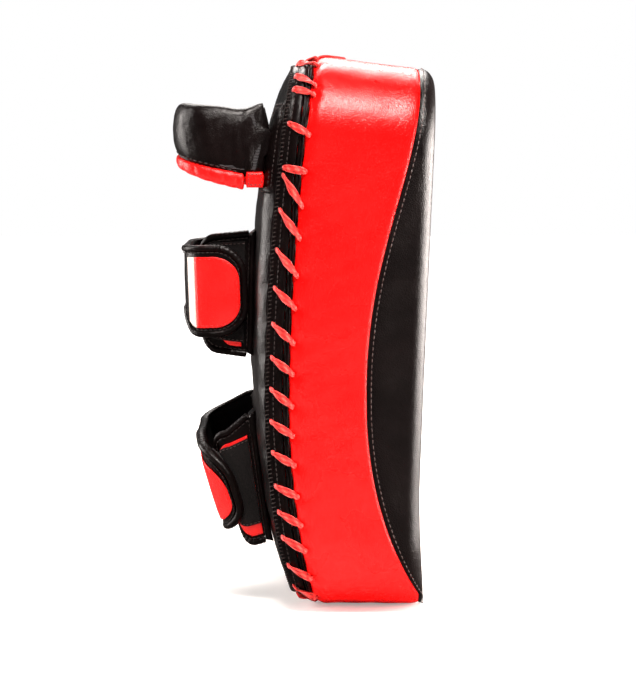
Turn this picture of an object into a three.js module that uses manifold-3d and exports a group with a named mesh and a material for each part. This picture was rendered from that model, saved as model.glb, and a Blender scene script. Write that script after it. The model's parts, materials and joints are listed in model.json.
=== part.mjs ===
// A thai pad: a laced leather block of layered foam, with a padded hand loop near its top and two
// forearm straps on its back, each closed by a hook-and-loop flap.
//
// Millimetres, +Z up. The strike face looks along +X, the straps stand on the -X side, and the pad
// stands on the lower end of its side wall. The block is drawn from the plane where its lacing ends,
// and the finished group is moved so that the origin lies under the middle of its box.

import * as THREE from 'three';
import { mergeVertices } from 'three/addons/utils/BufferGeometryUtils.js';
import Module from 'manifold-3d';

const wasm = await Module();
wasm.setup();

// The block: an upright rounded rectangle when seen from the strike side
const block = {
	height: 400,
	width: 200,
	cornerRadius: 58,
	strikeEndDrop: 10, // the top is this much lower at the strike face than at the lacing
	cornerSteps: 7,
	sideSteps: 9,
	endSteps: 4,
};
const leather = 2.4; // wall of every cover
const gap = 0.3; // between pieces that touch
const weld = 0.001; // points this near are one

// Lines of the block in side view: where they lie along X at the ends and at their waist
const lacedEdge = { endX: 7.5, waistX: - 11.6, waistShare: 0.37, bendShare: 1.8 };
const seamLine = { endX: 82, waistX: 43.4, waistShare: 0.4, riseShare: 1.15, fallShare: 2.2 };
const strikeLine = { topX: 93.3, waistX: 81.7, footX: 86.5, waistShare: 0.23, riseShare: 1.1, fallShare: 2 };
const backLine = { endX: - 3, crownX: - 39, sideRise: 6, bendShare: 2.2, roundShare: 0.67 };
const strikeEdge = { radius: 10, roomShare: 0.9, turns: [ 0, 30, 60, 90 ] };
const seamTuck = 1; // the wall dips this far at the curved seam
const seamRun = 9;

// Rows of the broad faces, as shares of the way to the spine, and of the back's turned-over edge
const faceShares = { strike: [ 0, 0.3, 0.65, 1 ], back: [ 0, 0.35, 0.7, 1 ] };
const backTurn = { insets: [ 12.5, 18, 28 ], easeShares: [ 0.45, 0.85, 1 ] };
const settleTurns = 6; // passes that settle a point on the sloping skin

// The laced joint: the wall's edge, a ribbed welt and a punched band, all drawn in by the lace
const lacing = {
	tuck: 4.2, // how far the wall's edge is drawn in
	wallRun: 8, // and over what run of the wall
	weltWidth: 4.2,
	ribHeight: 0.8,
	ribShares: [ 0, 0.2, 0.45, 0.7, 1 ], // ridges and grooves in turn across the welt
	bandEnd: 16.2, // from the wall's edge to the band's far edge
	bandSlopeShare: 0.3,
	wallHole: 3.1, // holes, from the wall's edge
	bandHole: 12.8,
	holeRadius: 3.1,
	holeSides: 6,
	punchLength: 14,
	pitch: 24,
	startShare: 0.2, // where the first stitch starts, in pitches
	dropShare: 0.55, // how far along the pitch a stitch runs before it goes in
	handFrom: 4, // the first stitch of the near side's stretch that is pulled unevenly, by hand
	handTo: 20, // and the one that follows that stretch
	handStarts: [
		3.8, 4.97, 6.29, 6.51, 7.53, 8.7, 9.82, 10.88, 11.87, 12.81, 13.76, 14.68, 15.68, 16.45, 17.21, 18.18, 19.23,
	], // in pitches from the top
	handDrops: [
		0.27, 0.31, 0.06, 0.88, 0.8, 0.73, 0.57, 0.54, 0.46, 0.48, 0.4, 0.36, 0.29, 0.38, 0.38, 0.34, 0.38,
	],
	laceWidth: 3.4,
	laceThickness: 1.5,
	laceFlatShare: 0.6, // of its width
	overGap: 0.8, // between the lace and the leather that it crosses
	underGap: 0.9,
	bend: 1.6, // a stitch starts to turn this far from its hole
	tail: 13,
};

// Foam layers, parted by flat faces
const foam = { rearFace: 14, frontFace: 52, sideGap: 0.6, lacedInset: 14.6, edgeTrim: 1, shoulderShare: 0.7 };

// The hand loop: a padded tube round a webbing core, with a red binding below it
const handle = {
	halfSpan: 79, // from the middle to the middle of a leg
	reach: 93.3, // outermost face, from the plane of the lacing ends
	rootX: - 31,
	top: 362.4,
	rootFoot: 313.5,
	crestFoot: 325,
	thickness: 16,
	cornerRadius: 26,
	wall: 2,
	bindingRoot: 10.5,
	bindingCrest: 7.5,
	bindingThickness: 11,
	tabLength: 14,
	tabThickness: 15,
	bevelShare: 0.55, // of half the thickness
	hingeZ: 336,
	seatHalf: 1.8, // half of the flat at the middle of each leg's end, on which the loop rocks
	slantDegrees: 13.5, // of the rest of each end
	anchorLow: 303,
	anchorHigh: 358,
	anchorHalfWidth: 6.5,
	anchorSteps: 6,
	anchorBase: 2.4,
	steps: 5,
	crestSteps: 2,
};

// Layers of a forearm strap, outwards from the face where its hooks meet their loops
const layers = {
	tape: 1.2, skin: 0.9, flap: 6, tongue: 5.5, rim: 4.5,
	rimProud: 0.6, rimBellyShare: 0.25, rimGap: 0.65, skinGap: 0.6,
};
const straps = {
	upper: {
		z: 229, tilt: 2, reach: 49.3, nearY: - 57, farY: 62, cornerRadius: 15,
		flapHeight: 66.5, flapOffset: 0.3, flapCorners: [ 18, 18 ], flapStart: - 2, flapLength: 54,
		tongueHeight: 89, tongueOffset: - 3.5, tongueTip: 38, tongueCorner: 16,
		panelLength: 33.4, labelWidth: 4.6, panelMargin: 1.5, panelMargins: [ 3, 4.6 ],
	},
	lower: {
		z: 95, tilt: 17, reach: 37, nearY: - 57, farY: 62, cornerRadius: 16,
		flapHeight: 73.5, flapOffset: 4.7, flapCorners: [ 13, 36 ], flapStart: 8, flapLength: 46,
		tongueHeight: 92, tongueOffset: - 3, tongueTip: 26, tongueCorner: 13,
		panelLength: 37, labelWidth: 6, panelMargin: 1.5, panelMargins: [ 4, 8 ],
	},
};
const foot = { thickness: 2.2, lift: 0.6, width: 26, flange: 3, steps: 4, acrossShares: [ 0, 0.5, 1 ] };

const finish = {
	redLeather: { color: 0xd81414, roughness: 0.42, metalness: 0 },
	blackLeather: { color: 0x141012, roughness: 0.45, metalness: 0 },
	lace: { color: 0xe02420, roughness: 0.7, metalness: 0 },
	foam: { color: 0xb9b5a8, roughness: 0.95, metalness: 0 },
	webbing: { color: 0x1c1a1c, roughness: 0.85, metalness: 0 },
	tape: { color: 0x0c0b0c, roughness: 0.95, metalness: 0 },
	label: { color: 0xf2efe8, roughness: 0.6, metalness: 0 },
};

const pad = new THREE.Group();
const { lerp, clamp, degToRad } = THREE.MathUtils;

// Helpers that turn rows of points into closed meshes

function closedGeometry( triangles ) {

	let geometry = new THREE.BufferGeometry();
	const corners = triangles.flatMap( ( v ) => v.toArray() );
	geometry.setAttribute( 'position', new THREE.Float32BufferAttribute( corners, 3 ) );
	geometry = mergeVertices( geometry, weld );
	const at = geometry.getAttribute( 'position' );
	const corner = ( i ) => new THREE.Vector3().fromBufferAttribute( at, i );
	const kept = [];
	let volume = 0;
	for ( let i = 0; i < geometry.index.count; i += 3 ) {

		const [ a, b, c ] = [ 0, 1, 2 ].map( ( k ) => geometry.index.getX( i + k ) );
		if ( a === b || b === c || c === a ) continue;
		volume += corner( a ).dot( corner( b ).cross( corner( c ) ) );
		kept.push( a, b, c );

	}

	if ( volume < 0 ) kept.reverse();
	geometry.setIndex( kept );
	return geometry;

}

function quad( triangles, a, b, c, d ) {

	triangles.push( a, b, c, a, c, d );

}

// Joins rows of points, each a closed loop of the same count, into a skin
function loft( rows, { joined = false, capped = false } = {} ) {

	const triangles = [];
	const last = joined ? rows.length : rows.length - 1;
	for ( let r = 0; r < last; r ++ ) {

		const [ low, high ] = [ rows[ r ], rows[ ( r + 1 ) % rows.length ] ];
		low.forEach( ( p, i ) => {

			const next = ( i + 1 ) % low.length;
			quad( triangles, p, low[ next ], high[ next ], high[ i ] );

		} );

	}

	if ( capped ) {

		const [ first, end ] = [ rows[ 0 ], rows.at( - 1 ) ];
		for ( let i = 1; i < first.length - 1; i ++ ) {

			triangles.push( first[ 0 ], first[ i + 1 ], first[ i ] );
			triangles.push( end[ 0 ], end[ i ], end[ i + 1 ] );

		}

	}

	return closedGeometry( triangles );

}

function addNode( name, geometry, look, parent = pad ) {

	const mesh = new THREE.Mesh( geometry, new THREE.MeshStandardMaterial( look ) );
	mesh.name = name;
	parent.add( mesh );
	return mesh;

}

function toSolid( geometry ) {

	const bare = geometry.clone();
	bare.deleteAttribute( 'normal' );
	bare.deleteAttribute( 'uv' );
	const merged = mergeVertices( bare, weld );
	return new wasm.Manifold( new wasm.Mesh( {
		numProp: 3,
		vertProperties: new Float32Array( merged.getAttribute( 'position' ).array ),
		triVerts: new Uint32Array( merged.index.array ),
	} ) );

}

function toGeometry( solid ) {

	const mesh = solid.getMesh();
	const geometry = new THREE.BufferGeometry();
	geometry.setAttribute( 'position', new THREE.BufferAttribute( mesh.vertProperties, 3 ) );
	geometry.setIndex( new THREE.BufferAttribute( mesh.triVerts, 1 ) );
	return geometry;

}

// The block's rim and its side-view lines

// Points round the rounded rectangle, mirrored left to right, each with its outward normal
function rimPoints() {

	const { height, width, cornerRadius: r, cornerSteps, sideSteps, endSteps } = block;
	const turns = [
		[ 1, r, sideSteps ], [ 1, height - r, endSteps ],
		[ - 1, height - r, sideSteps ], [ - 1, r, endSteps ],
	];
	const points = [];
	turns.forEach( ( [ side, middleZ, steps ], quarter ) => {

		const middleY = side * ( width / 2 - r );
		for ( let k = 0; k <= cornerSteps; k ++ ) {

			const angle = ( quarter - 1 + k / cornerSteps ) * Math.PI / 2;
			const [ ny, nz ] = [ Math.cos( angle ), Math.sin( angle ) ];
			points.push( { y: middleY + r * ny, z: middleZ + r * nz, ny, nz } );

		}

		const [ nextSide, nextZ ] = turns[ ( quarter + 1 ) % turns.length ];
		const from = points.at( - 1 );
		const to = { y: nextSide * ( width / 2 - r ) + r * from.ny, z: nextZ + r * from.nz };
		for ( let k = 1; k < steps; k ++ ) {

			const share = k / steps;
			points.push( { y: lerp( from.y, to.y, share ), z: lerp( from.z, to.z, share ), ny: from.ny, nz: from.nz } );

		}

	} );
	return points;

}

const rim = rimPoints();

// How far z lies from the waist, 0 there and 1 at the nearer end of the block
function fromWaist( z, waistShare ) {

	const waist = block.height * waistShare;
	const share = z < waist ? ( waist - z ) / waist : ( z - waist ) / ( block.height - waist );
	return { below: z < waist, share: clamp( share, 0, 1 ) };

}

function lacedX( z ) {

	const { share } = fromWaist( z, lacedEdge.waistShare );
	return lerp( lacedEdge.waistX, lacedEdge.endX, share ** lacedEdge.bendShare );

}

function seamX( z ) {

	const { below, share } = fromWaist( z, seamLine.waistShare );
	const swing = ( 1 - Math.cos( Math.PI * share ** seamLine.riseShare ) ) / 2;
	return lerp( seamLine.waistX, seamLine.endX, below ? share ** seamLine.fallShare : swing );

}

function strikeX( z ) {

	const { below, share } = fromWaist( z, strikeLine.waistShare );
	const end = below ? strikeLine.footX : strikeLine.topX;
	return lerp( strikeLine.waistX, end, share ** ( below ? strikeLine.fallShare : strikeLine.riseShare ) );

}

function backX( y, z ) {

	const off = clamp( Math.abs( 2 * z / block.height - 1 ), 0, 1 );
	const crown = ( 1 - off ** backLine.bendShare ) ** backLine.roundShare;
	return lerp( backLine.endX, backLine.crownX, crown ) + backLine.sideRise * ( 2 * y / block.width ) ** 2;

}

// The top slopes down towards the strike face, and the foot stays level
const slopeShare = block.strikeEndDrop / ( strikeLine.topX - lacedEdge.endX ) / block.height;

const slopeAt = ( x ) => 1 - slopeShare * ( x - lacedEdge.endX );

function place( x, y, z ) {

	return new THREE.Vector3( x, y, z * slopeAt( x ) );

}

// A row of points round the block. inset is the depth below the rim, and spineShare draws the row
// in towards the upright line down the block's middle. Both sizes and x may follow the rim's point.
function row( inset, x, spineShare = 0 ) {

	const half = block.width / 2;
	return rim.map( ( p ) => {

		const depth = typeof inset === 'function' ? inset( p ) : inset;
		const spine = clamp( p.z, half, block.height - half );
		const y = ( p.y - p.ny * depth ) * ( 1 - spineShare );
		const z = lerp( p.z - p.nz * depth, spine, spineShare );
		return place( x( y, z, p ), y, z );

	} );

}

// Depth of the drawn-in leather at a distance behind the wall's edge
function lacedInset( behind ) {

	if ( behind > 0 ) return lacing.tuck + lacing.bandSlopeShare * behind;
	return lacing.tuck * clamp( 1 + behind / lacing.wallRun, 0, 1 );

}

// The covers and foam of the block

function strikePanel() {

	const radius = ( p ) => Math.min( strikeEdge.radius, strikeEdge.roomShare * ( strikeX( p.z ) - seamX( p.z ) ) );
	const turned = strikeEdge.turns.map( degToRad ).map( ( a ) => row(
		( p ) => radius( p ) * ( 1 - Math.cos( a ) ),
		( y, z, p ) => strikeX( p.z ) - radius( p ) * ( 1 - Math.sin( a ) ),
	) );
	const face = ( depth ) => faceShares.strike.map(
		( share ) => row( radius, ( y, z ) => strikeX( z ) - depth, share ) );
	return loft( [
		...face( leather ).reverse(),
		row( leather, ( y, z, p ) => strikeX( p.z ) - radius( p ) ),
		row( seamTuck + leather, ( y, z, p ) => seamX( p.z ) + gap / 2 ),
		row( seamTuck, ( y, z, p ) => seamX( p.z ) + gap / 2 ),
		...turned, ...face( 0 ).slice( 1 ),
	] );

}

function sideWall() {

	const edge = ( before, depth ) =>
		row( lacedInset( - before ) + depth, ( y, z, p ) => lacedX( p.z ) + before + gap / 2 );
	const seam = ( before, depth ) => row( depth, ( y, z, p ) => seamX( p.z ) - before - gap / 2 );
	return loft( [
		edge( 0, 0 ), edge( lacing.wallRun, 0 ), seam( seamRun, 0 ), seam( 0, seamTuck ),
		seam( 0, seamTuck + leather ), seam( seamRun, leather ), edge( lacing.wallRun, leather ), edge( 0, leather ),
	], { joined: true } );

}

function laceRun( from, to, bumps ) {

	const at = ( behind, depth ) => row( lacedInset( behind ) + depth, ( y, z, p ) => lacedX( p.z ) - behind );
	const outer = bumps.map( ( [ share, depth ] ) => at( lerp( from, to, share ), depth ) );
	return loft( [ ...outer, at( to, leather ), at( from, leather ) ], { joined: true } );

}

// Two folded ribs beside the wall's edge
function lacingWelt() {

	const { weltWidth, ribHeight, ribShares } = lacing;
	return laceRun( gap / 2, weltWidth, ribShares.map( ( share, k ) => [ share, k % 2 ? 0 : ribHeight ] ) );

}

function lacingBand() {

	return laceRun( lacing.weltWidth + gap, lacing.bandEnd, [ [ 0, 0 ], [ 1, 0 ] ] );

}

const backStart = lacing.bandEnd + gap;
const backEdge = lacedInset( backStart );
const backWide = backTurn.insets.at( - 1 );

function backRow( k, inset, lift ) {

	const ease = backTurn.easeShares[ k ];
	return row( inset, ( y, z, p ) => lerp( lacedX( p.z ) - backStart, backX( y, z ), ease ) + lift );

}

function backPanel() {

	const face = ( lift ) => faceShares.back.slice( 1 ).map(
		( share ) => row( backWide, ( y, z ) => backX( y, z ) + lift, share ) );
	const turned = backTurn.insets.map( ( inset, k ) => backRow( k, inset, 0 ) );
	const lining = backTurn.insets.map( ( inset, k ) => backRow( k, inset, leather ) ).reverse();
	return loft( [
		...face( leather ).reverse(), ...lining,
		row( backEdge + leather, ( y, z, p ) => lacedX( p.z ) - backStart ),
		row( backEdge, ( y, z, p ) => lacedX( p.z ) - backStart ),
		...turned, ...face( 0 ),
	] );

}

function foamLayers() {

	const behindBack = leather + gap;
	const side = seamTuck + leather + foam.sideGap;
	const far = strikeEdge.radius + leather;
	const flat = ( inset, x, share = 0 ) => row( inset, () => x, share );
	const backFace = ( share ) => row( backWide - foam.edgeTrim, ( y, z ) => backX( y, z ) + behindBack, share );
	const strikeFace = ( share ) => row( far, ( y, z ) => strikeX( z ) - behindBack, share );
	addNode( 'foam_back', loft( [
		...faceShares.back.map( backFace ).reverse(),
		row( foam.lacedInset, ( y, z, p ) => lerp( lacedX( p.z ), backX( y, z ), foam.shoulderShare ) + behindBack ),
		flat( foam.lacedInset, foam.rearFace ), flat( foam.lacedInset, foam.rearFace, 1 ),
	] ), finish.foam );
	addNode( 'foam_core', loft( [
		flat( side, foam.rearFace + gap, 1 ), flat( side, foam.rearFace + gap ),
		flat( side, foam.frontFace - gap ), flat( side, foam.frontFace - gap, 1 ),
	] ), finish.foam );
	addNode( 'foam_front', loft( [
		flat( side, foam.frontFace, 1 ), flat( side, foam.frontFace ),
		row( side, ( y, z, p ) => strikeX( p.z ) - far - gap ),
		...faceShares.strike.map( strikeFace ),
	] ), finish.foam );

}

// The lace and its holes

// Follows the rim by length, counted from the middle of the top and down the near side first
function rimWalk() {

	const fromTop = ( p ) => block.height - p.z + Math.abs( p.y );
	const top = rim.indexOf( [ ...rim ].sort( ( a, b ) => fromTop( a ) - fromTop( b ) )[ 0 ] );
	const loop = rim.map( ( _, i ) => rim[ ( top + i ) % rim.length ] );
	loop.push( loop[ 0 ] );
	const drawnIn = loop.map( ( p ) => new THREE.Vector2( p.y - p.ny * lacing.tuck, p.z - p.nz * lacing.tuck ) );
	const lengths = [ 0 ];
	for ( let i = 1; i < loop.length; i ++ ) {

		lengths.push( lengths[ i - 1 ] + drawnIn[ i ].distanceTo( drawnIn[ i - 1 ] ) );

	}

	const total = lengths.at( - 1 );
	const at = ( length ) => {

		const wanted = clamp( length, 0, total - weld );
		const i = lengths.findIndex( ( l ) => l > wanted );
		const share = ( wanted - lengths[ i - 1 ] ) / ( lengths[ i ] - lengths[ i - 1 ] );
		return { share, a: loop[ i - 1 ], b: loop[ i ] };

	};

	return { total, at };

}

const walk = rimWalk();
const stitches = Math.round( walk.total / lacing.pitch );

// A point on the flat between two rim points, so that it lies on the faceted leather
function onRim( length, behind, depth ) {

	const { a, b, share } = walk.at( length );
	const inset = lacedInset( behind ) + depth;
	const point = ( p ) => place( lacedX( p.z ) - behind, p.y - p.ny * inset, p.z - p.nz * inset );
	return point( a ).lerp( point( b ), share );

}

function outward( length ) {

	const { a, b, share } = walk.at( length );
	return new THREE.Vector3( 0, lerp( a.ny, b.ny, share ), lerp( a.nz, b.nz, share ) ).normalize();

}

// Where each stitch starts in the band and goes in through the wall, by length round the rim
const stitchPitch = walk.total / stitches;
const evenStitch = ( _, k ) => ( { start: k + lacing.startShare, drop: lacing.dropShare } );
const evenStitches = Array.from( { length: stitches }, evenStitch );
const holes = [
	...evenStitches.slice( 0, lacing.handFrom ),
	...lacing.handStarts.map( ( start, i ) => ( { start, drop: lacing.handDrops[ i ] } ) ),
	...evenStitches.slice( lacing.handTo ),
].map( ( { start, drop } ) => ( { band: start * stitchPitch, wall: ( start + drop ) * stitchPitch } ) );
const bandHoles = holes.map( ( hole ) => hole.band );
const wallHoles = holes.map( ( hole ) => hole.wall );

function punch( geometry, behind, places ) {

	const { holeRadius, punchLength, holeSides } = lacing;
	const punches = places.map( ( length ) => {

		const drill = new THREE.CylinderGeometry( holeRadius, holeRadius, punchLength, holeSides );
		const way = outward( length );
		const turn = new THREE.Quaternion().setFromUnitVectors( new THREE.Vector3( 0, 1, 0 ), way );
		drill.applyQuaternion( turn );
		drill.translate( ...onRim( length, behind, leather / 2 ).toArray() );
		return toSolid( drill );

	} );

	return toGeometry( toSolid( geometry ).subtract( wasm.Manifold.union( punches ) ) );

}

// The lace's route: over the joint from a band hole down to a wall hole, and back underneath
function laceRoute() {

	const { bend, overGap, underGap, laceThickness: thick, bandHole, wallHole } = lacing;
	const over = - overGap - thick / 2;
	const under = leather + underGap + thick / 2;
	const points = [];
	const add = ( length, behind, depth ) => points.push( {
		at: onRim( length, behind, depth ),
		axis: onRim( length, lerp( bandHole, - wallHole, 0.5 ), leather / 2 ),
	} );
	const leg = ( from, to, behindFrom, behindTo, depth ) => {

		const span = Math.hypot( to - from, behindTo - behindFrom );
		[ bend / span, 0.5, 1 - bend / span ].forEach( ( share ) =>
			add( lerp( from, to, share ), lerp( behindFrom, behindTo, share ), depth ) );

	};

	const tailAt = wallHoles[ 0 ] - stitchPitch;
	const first = Math.max( tailAt, 0 ) + bend;
	add( first, - lacing.wallRun - lacing.tail, over );
	add( first, - lacing.wallRun, over );
	add( first, 0, over );
	leg( bandHoles[ 0 ] + bend, wallHoles[ 0 ], bandHole / 2, - wallHole, over );
	add( wallHoles[ 0 ], - wallHole, leather / 2 );
	for ( let k = 1; k < holes.length; k ++ ) {

		leg( wallHoles[ k - 1 ], bandHoles[ k ], - wallHole, bandHole, under );
		add( bandHoles[ k ], bandHole, leather / 2 );
		leg( bandHoles[ k ], wallHoles[ k ], bandHole, - wallHole, over );
		add( wallHoles[ k ], - wallHole, leather / 2 );

	}

	const endAt = walk.total - 2 * bend;
	add( Math.min( endAt, wallHoles.at( - 1 ) + bend ), - wallHole + bend, under );
	add( Math.min( endAt, wallHoles.at( - 1 ) + 2 * bend ), bandHole / 2, under );
	return points;

}

function laceTube( route ) {

	const { laceWidth, laceThickness, laceFlatShare: flat } = lacing;
	const section = [ [ 1, 0 ], [ flat, 1 ], [ - flat, 1 ], [ - 1, 0 ], [ - flat, - 1 ], [ flat, - 1 ] ];
	const rows = route.map( ( { at, axis }, i ) => {

		const before = route[ Math.max( i - 1, 0 ) ].at;
		const after = route[ Math.min( i + 1, route.length - 1 ) ].at;
		const along = after.clone().sub( before ).normalize();
		const face = at.clone().sub( axis );
		face.addScaledVector( along, - face.dot( along ) ).normalize();
		const across = along.clone().cross( face );
		return section.map( ( [ w, t ] ) => at.clone()
			.addScaledVector( across, w * laceWidth / 2 )
			.addScaledVector( face, t * laceThickness / 2 ) );

	} );
	return loft( rows, { capped: true } );

}

// The least space between parts of the lace that don't follow each other
function leastLaceGap( route ) {

	const { laceWidth, pitch } = lacing;
	let least = Infinity;
	const along = [ 0 ];
	for ( let i = 1; i < route.length; i ++ ) {

		along.push( along[ i - 1 ] + route[ i ].at.distanceTo( route[ i - 1 ].at ) );

	}

	for ( let i = 0; i < route.length; i ++ ) {

		for ( let j = i + 1; j < route.length; j ++ ) {

			if ( along[ j ] - along[ i ] < pitch ) continue;
			least = Math.min( least, route[ i ].at.distanceTo( route[ j ].at ) - laceWidth );

		}

	}

	return least;

}

// A belt is a flat piece bent along a plan: s runs along the plan, w is height and t is outwards

class Belt {

	constructor( plan ) {

		this.plan = plan;
		this.length = plan.getLength();

	}

	at( s, w, t ) {

		const share = clamp( s / this.length, 0, 1 );
		const over = s - share * this.length;
		const point = this.plan.getPointAt( share );
		const way = this.plan.getTangentAt( share );
		return new THREE.Vector3( point.x + way.x * over - way.y * t, point.y + way.y * over + way.x * t, w );

	}

	// stations give the two edges, as [ s, w ] below and above; inner and outer are depths t
	slab( stations, inner, outer ) {

		const rows = stations.map( ( [ [ sLow, low ], [ sHigh, high ] ] ) => [
			this.at( sLow, low, inner ), this.at( sLow, low, outer ),
			this.at( sHigh, high, outer ), this.at( sHigh, high, inner ),
		] );
		return loft( rows, { capped: true } );

	}

	// A rim outside an edge, given as { s, w, ds, dw } with the way out of the sheet
	rim( edge, width, inner, outer ) {

		const belly = ( outer - inner ) * layers.rimBellyShare;
		const rows = edge.map( ( { s, w, ds, dw } ) => [
			[ layers.rimGap, inner + belly ], [ width / 2, inner ], [ width, inner + belly ],
			[ width, outer - belly ], [ width / 2, outer ], [ layers.rimGap, outer - belly ],
		].map( ( [ out, t ] ) => this.at( s + ds * out, w + dw * out, t ) ) );
		return loft( rows, { capped: true } );

	}

}

// Lines and arcs of a belt's plan, in x and y
function planOf( pieces ) {

	const plan = new THREE.CurvePath();
	pieces.forEach( ( { radius, x, y, from, to } ) => plan.add( radius
		? new THREE.EllipseCurve( x, y, radius, radius, from, to, true )
		: new THREE.LineCurve( new THREE.Vector2( ...from ), new THREE.Vector2( ...to ) ) ) );
	return plan;

}

const spread = ( from, to, steps ) => Array.from( { length: steps + 1 }, ( _, k ) => lerp( from, to, k / steps ) );

// The outline of a tab that ends in a rounded end at s = tip and runs to s = root. corners are the
// radii of its lower and upper corner.
function tabOutline( { root, tip, low, high, corners, steps = 4 } ) {

	const way = Math.sign( root - tip );
	const length = Math.abs( root - tip );
	const bends = spread( 0, 90, steps ).map( ( a ) => Math.min( ...corners ) * ( 1 - Math.sin( degToRad( a ) ) ) );
	const reaches = [ ...spread( length, bends[ 0 ], 3 * steps ), ...bends.slice( 1 ) ];
	const half = ( w, dw, corner ) => reaches.map( ( reach ) => {

		const sin = 1 - Math.min( reach / corner, 1 ), cos = Math.sqrt( 1 - sin * sin );
		return { s: tip + way * reach, w: w - dw * corner * ( 1 - cos ), ds: - way * sin, dw: dw * cos };

	} );
	const lower = half( low, - 1, corners[ 0 ] );
	const upper = half( high, 1, corners[ 1 ] );
	return { lower, upper, edge: [ ...lower, ...upper.reverse() ] };

}

function outlineStations( { lower, upper } ) {

	const above = [ ...upper ].reverse();
	return lower.map( ( p, k ) => [ [ p.s, p.w ], [ above[ k ].s, above[ k ].w ] ] );

}

// One forearm strap in its own frame: x = 0 at the back's crown, -x outwards, z along the strap
function forearmStrap( name, size ) {

	const group = new THREE.Group();
	group.position.copy( place( backX( 0, size.z ), 0, size.z ) );
	group.rotation.y = - degToRad( size.tilt );
	group.updateMatrix();
	pad.add( group );

	// Distance along the frame's own x to the back panel at a place on the strap's foot
	const backAt = ( y, w ) => {

		let x = 0;
		for ( let turn = 0; turn < settleTurns; turn ++ ) {

			const point = new THREE.Vector3( x, y, w ).applyMatrix4( group.matrix );
			x += backX( y, point.z / slopeAt( point.x ) ) - point.x;

		}

		return x;

	};

	// The top of a sewn-down foot, level across the strap and straight along it
	const acrossFoot = ( from ) => foot.acrossShares.map( ( share ) => from + share * foot.width );
	const footTop = ( from, low, high ) => {

		const across = acrossFoot( from );
		const at = ( w ) => Math.min( ...across.map( ( y ) => backAt( y, w ) ) ) - foot.lift - foot.thickness;
		const line = ( w ) => lerp( at( low ), at( high ), ( w - low ) / ( high - low ) );
		const bulge = Math.max( ...spread( low, high, 2 * foot.steps ).map( ( w ) => line( w ) - at( w ) ) );
		return ( w ) => line( w ) - bulge;

	};

	const [ flapLow, flapHigh ] = [ - 1, 1 ].map( ( side ) => size.flapOffset + side * size.flapHeight / 2 );
	const [ tongueLow, tongueHigh ] = [ - 1, 1 ].map( ( side ) => size.tongueOffset + side * size.tongueHeight / 2 );
	const outer = gap / 2 + layers.tape + gap + layers.flap;
	const inner = gap / 2 + layers.tape + gap + layers.skin + gap;
	const farFrom = size.farY - ( outer + foot.width ) / 2;
	const nearTop = footTop( size.nearY, tongueLow, tongueHigh );
	const farTop = footTop( farFrom, flapLow, flapHigh );
	const hinge = { x: Math.min( farTop( flapLow ), farTop( flapHigh ) ) - gap, y: size.farY };

	// Plan: the near wall is an arc about the far hinge, so that the band swings clear of the tongue
	const crestX = - ( size.reach - outer - layers.skin );
	const arcRadius = size.farY - size.nearY;
	const corner = size.cornerRadius;
	const nearX = crestX + corner;
	const nearY = hinge.y - Math.sqrt( ( arcRadius - corner ) ** 2 - ( nearX - hinge.x ) ** 2 );
	const meet = Math.atan2( nearY - hinge.y, nearX - hinge.x );
	const farY = size.farY - outer;
	const plan = planOf( [
		{ radius: arcRadius, x: hinge.x, y: hinge.y, from: - Math.PI / 2, to: meet },
		{ radius: corner, x: nearX, y: nearY, from: meet, to: - Math.PI },
		{ from: [ crestX, nearY ], to: [ crestX, farY - corner ] },
		{ radius: corner, x: nearX, y: farY - corner, from: Math.PI, to: Math.PI / 2 },
		{ from: [ nearX, farY ], to: [ hinge.x, farY ] },
	] );
	const belt = new Belt( plan );
	const ends = plan.getCurveLengths();
	const peelAt = size.flapStart + size.flapLength;
	const nearFoot = ( w ) => hinge.x - nearTop( w ) + gap;

	// Band: from the far foot over the crest to the peel line
	const turnSteps = [ ...spread( peelAt + gap, ends[ 2 ], 1 ), ...spread( ends[ 2 ], ends[ 3 ], 5 ).slice( 1 ) ];
	const bandStations = turnSteps.map( ( s ) => [ [ s, flapLow ], [ s, flapHigh ] ] );
	const footS = ( w ) => belt.length + farTop( w ) - gap - hinge.x;
	bandStations.push( [ [ footS( flapLow ), flapLow ], [ footS( flapHigh ), flapHigh ] ] );
	const add = ( piece, geometry, look ) => addNode( `${ name }_${ piece }`, geometry, look, group );
	add( 'band', belt.slab( bandStations, outer - layers.flap, outer ), finish.blackLeather );

	// Flap: padded leather with a rim, a red panel, a bare label and a hook tape
	const { rim: rimWidth, rimProud, skin, skinGap, tape } = layers;
	const flap = tabOutline( {
		root: peelAt, tip: size.flapStart + rimWidth,
		low: flapLow + rimWidth, high: flapHigh - rimWidth, corners: size.flapCorners,
	} );
	add( 'flap', belt.slab( outlineStations( flap ), outer - layers.flap, outer ), finish.blackLeather );
	add( 'flap_rim', belt.rim( flap.edge, rimWidth, outer - layers.flap, outer + rimProud ), finish.blackLeather );
	const panelLow = flapLow + rimWidth + size.panelMargins[ 0 ];
	const panelHigh = flapHigh - rimWidth - size.panelMargins[ 1 ];
	const skinFrom = outer + skinGap;
	const panelEnd = size.flapStart + size.panelLength;
	const panel = tabOutline( {
		root: panelEnd, tip: size.flapStart + rimWidth + size.panelMargin,
		low: panelLow, high: panelHigh, corners: size.flapCorners,
	} );
	add( 'flap_panel', belt.slab( outlineStations( panel ), skinFrom, skinFrom + skin ), finish.redLeather );
	const label = spread( panelEnd + gap, panelEnd + size.labelWidth, 2 )
		.map( ( s ) => [ [ s, panelLow ], [ s, panelHigh ] ] );
	add( 'label', belt.slab( label, skinFrom, skinFrom + skin ), finish.label );
	const hook = tabOutline( {
		root: size.tongueTip - rimWidth, tip: size.flapStart + rimWidth + size.panelMargin,
		low: flapLow + 2 * rimWidth, high: flapHigh - 2 * rimWidth, corners: size.flapCorners.map( ( r ) => r / 2 ),
	} );
	add( 'hook_tape', belt.slab( outlineStations( hook ), gap / 2, gap / 2 + tape ), finish.tape );

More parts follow.
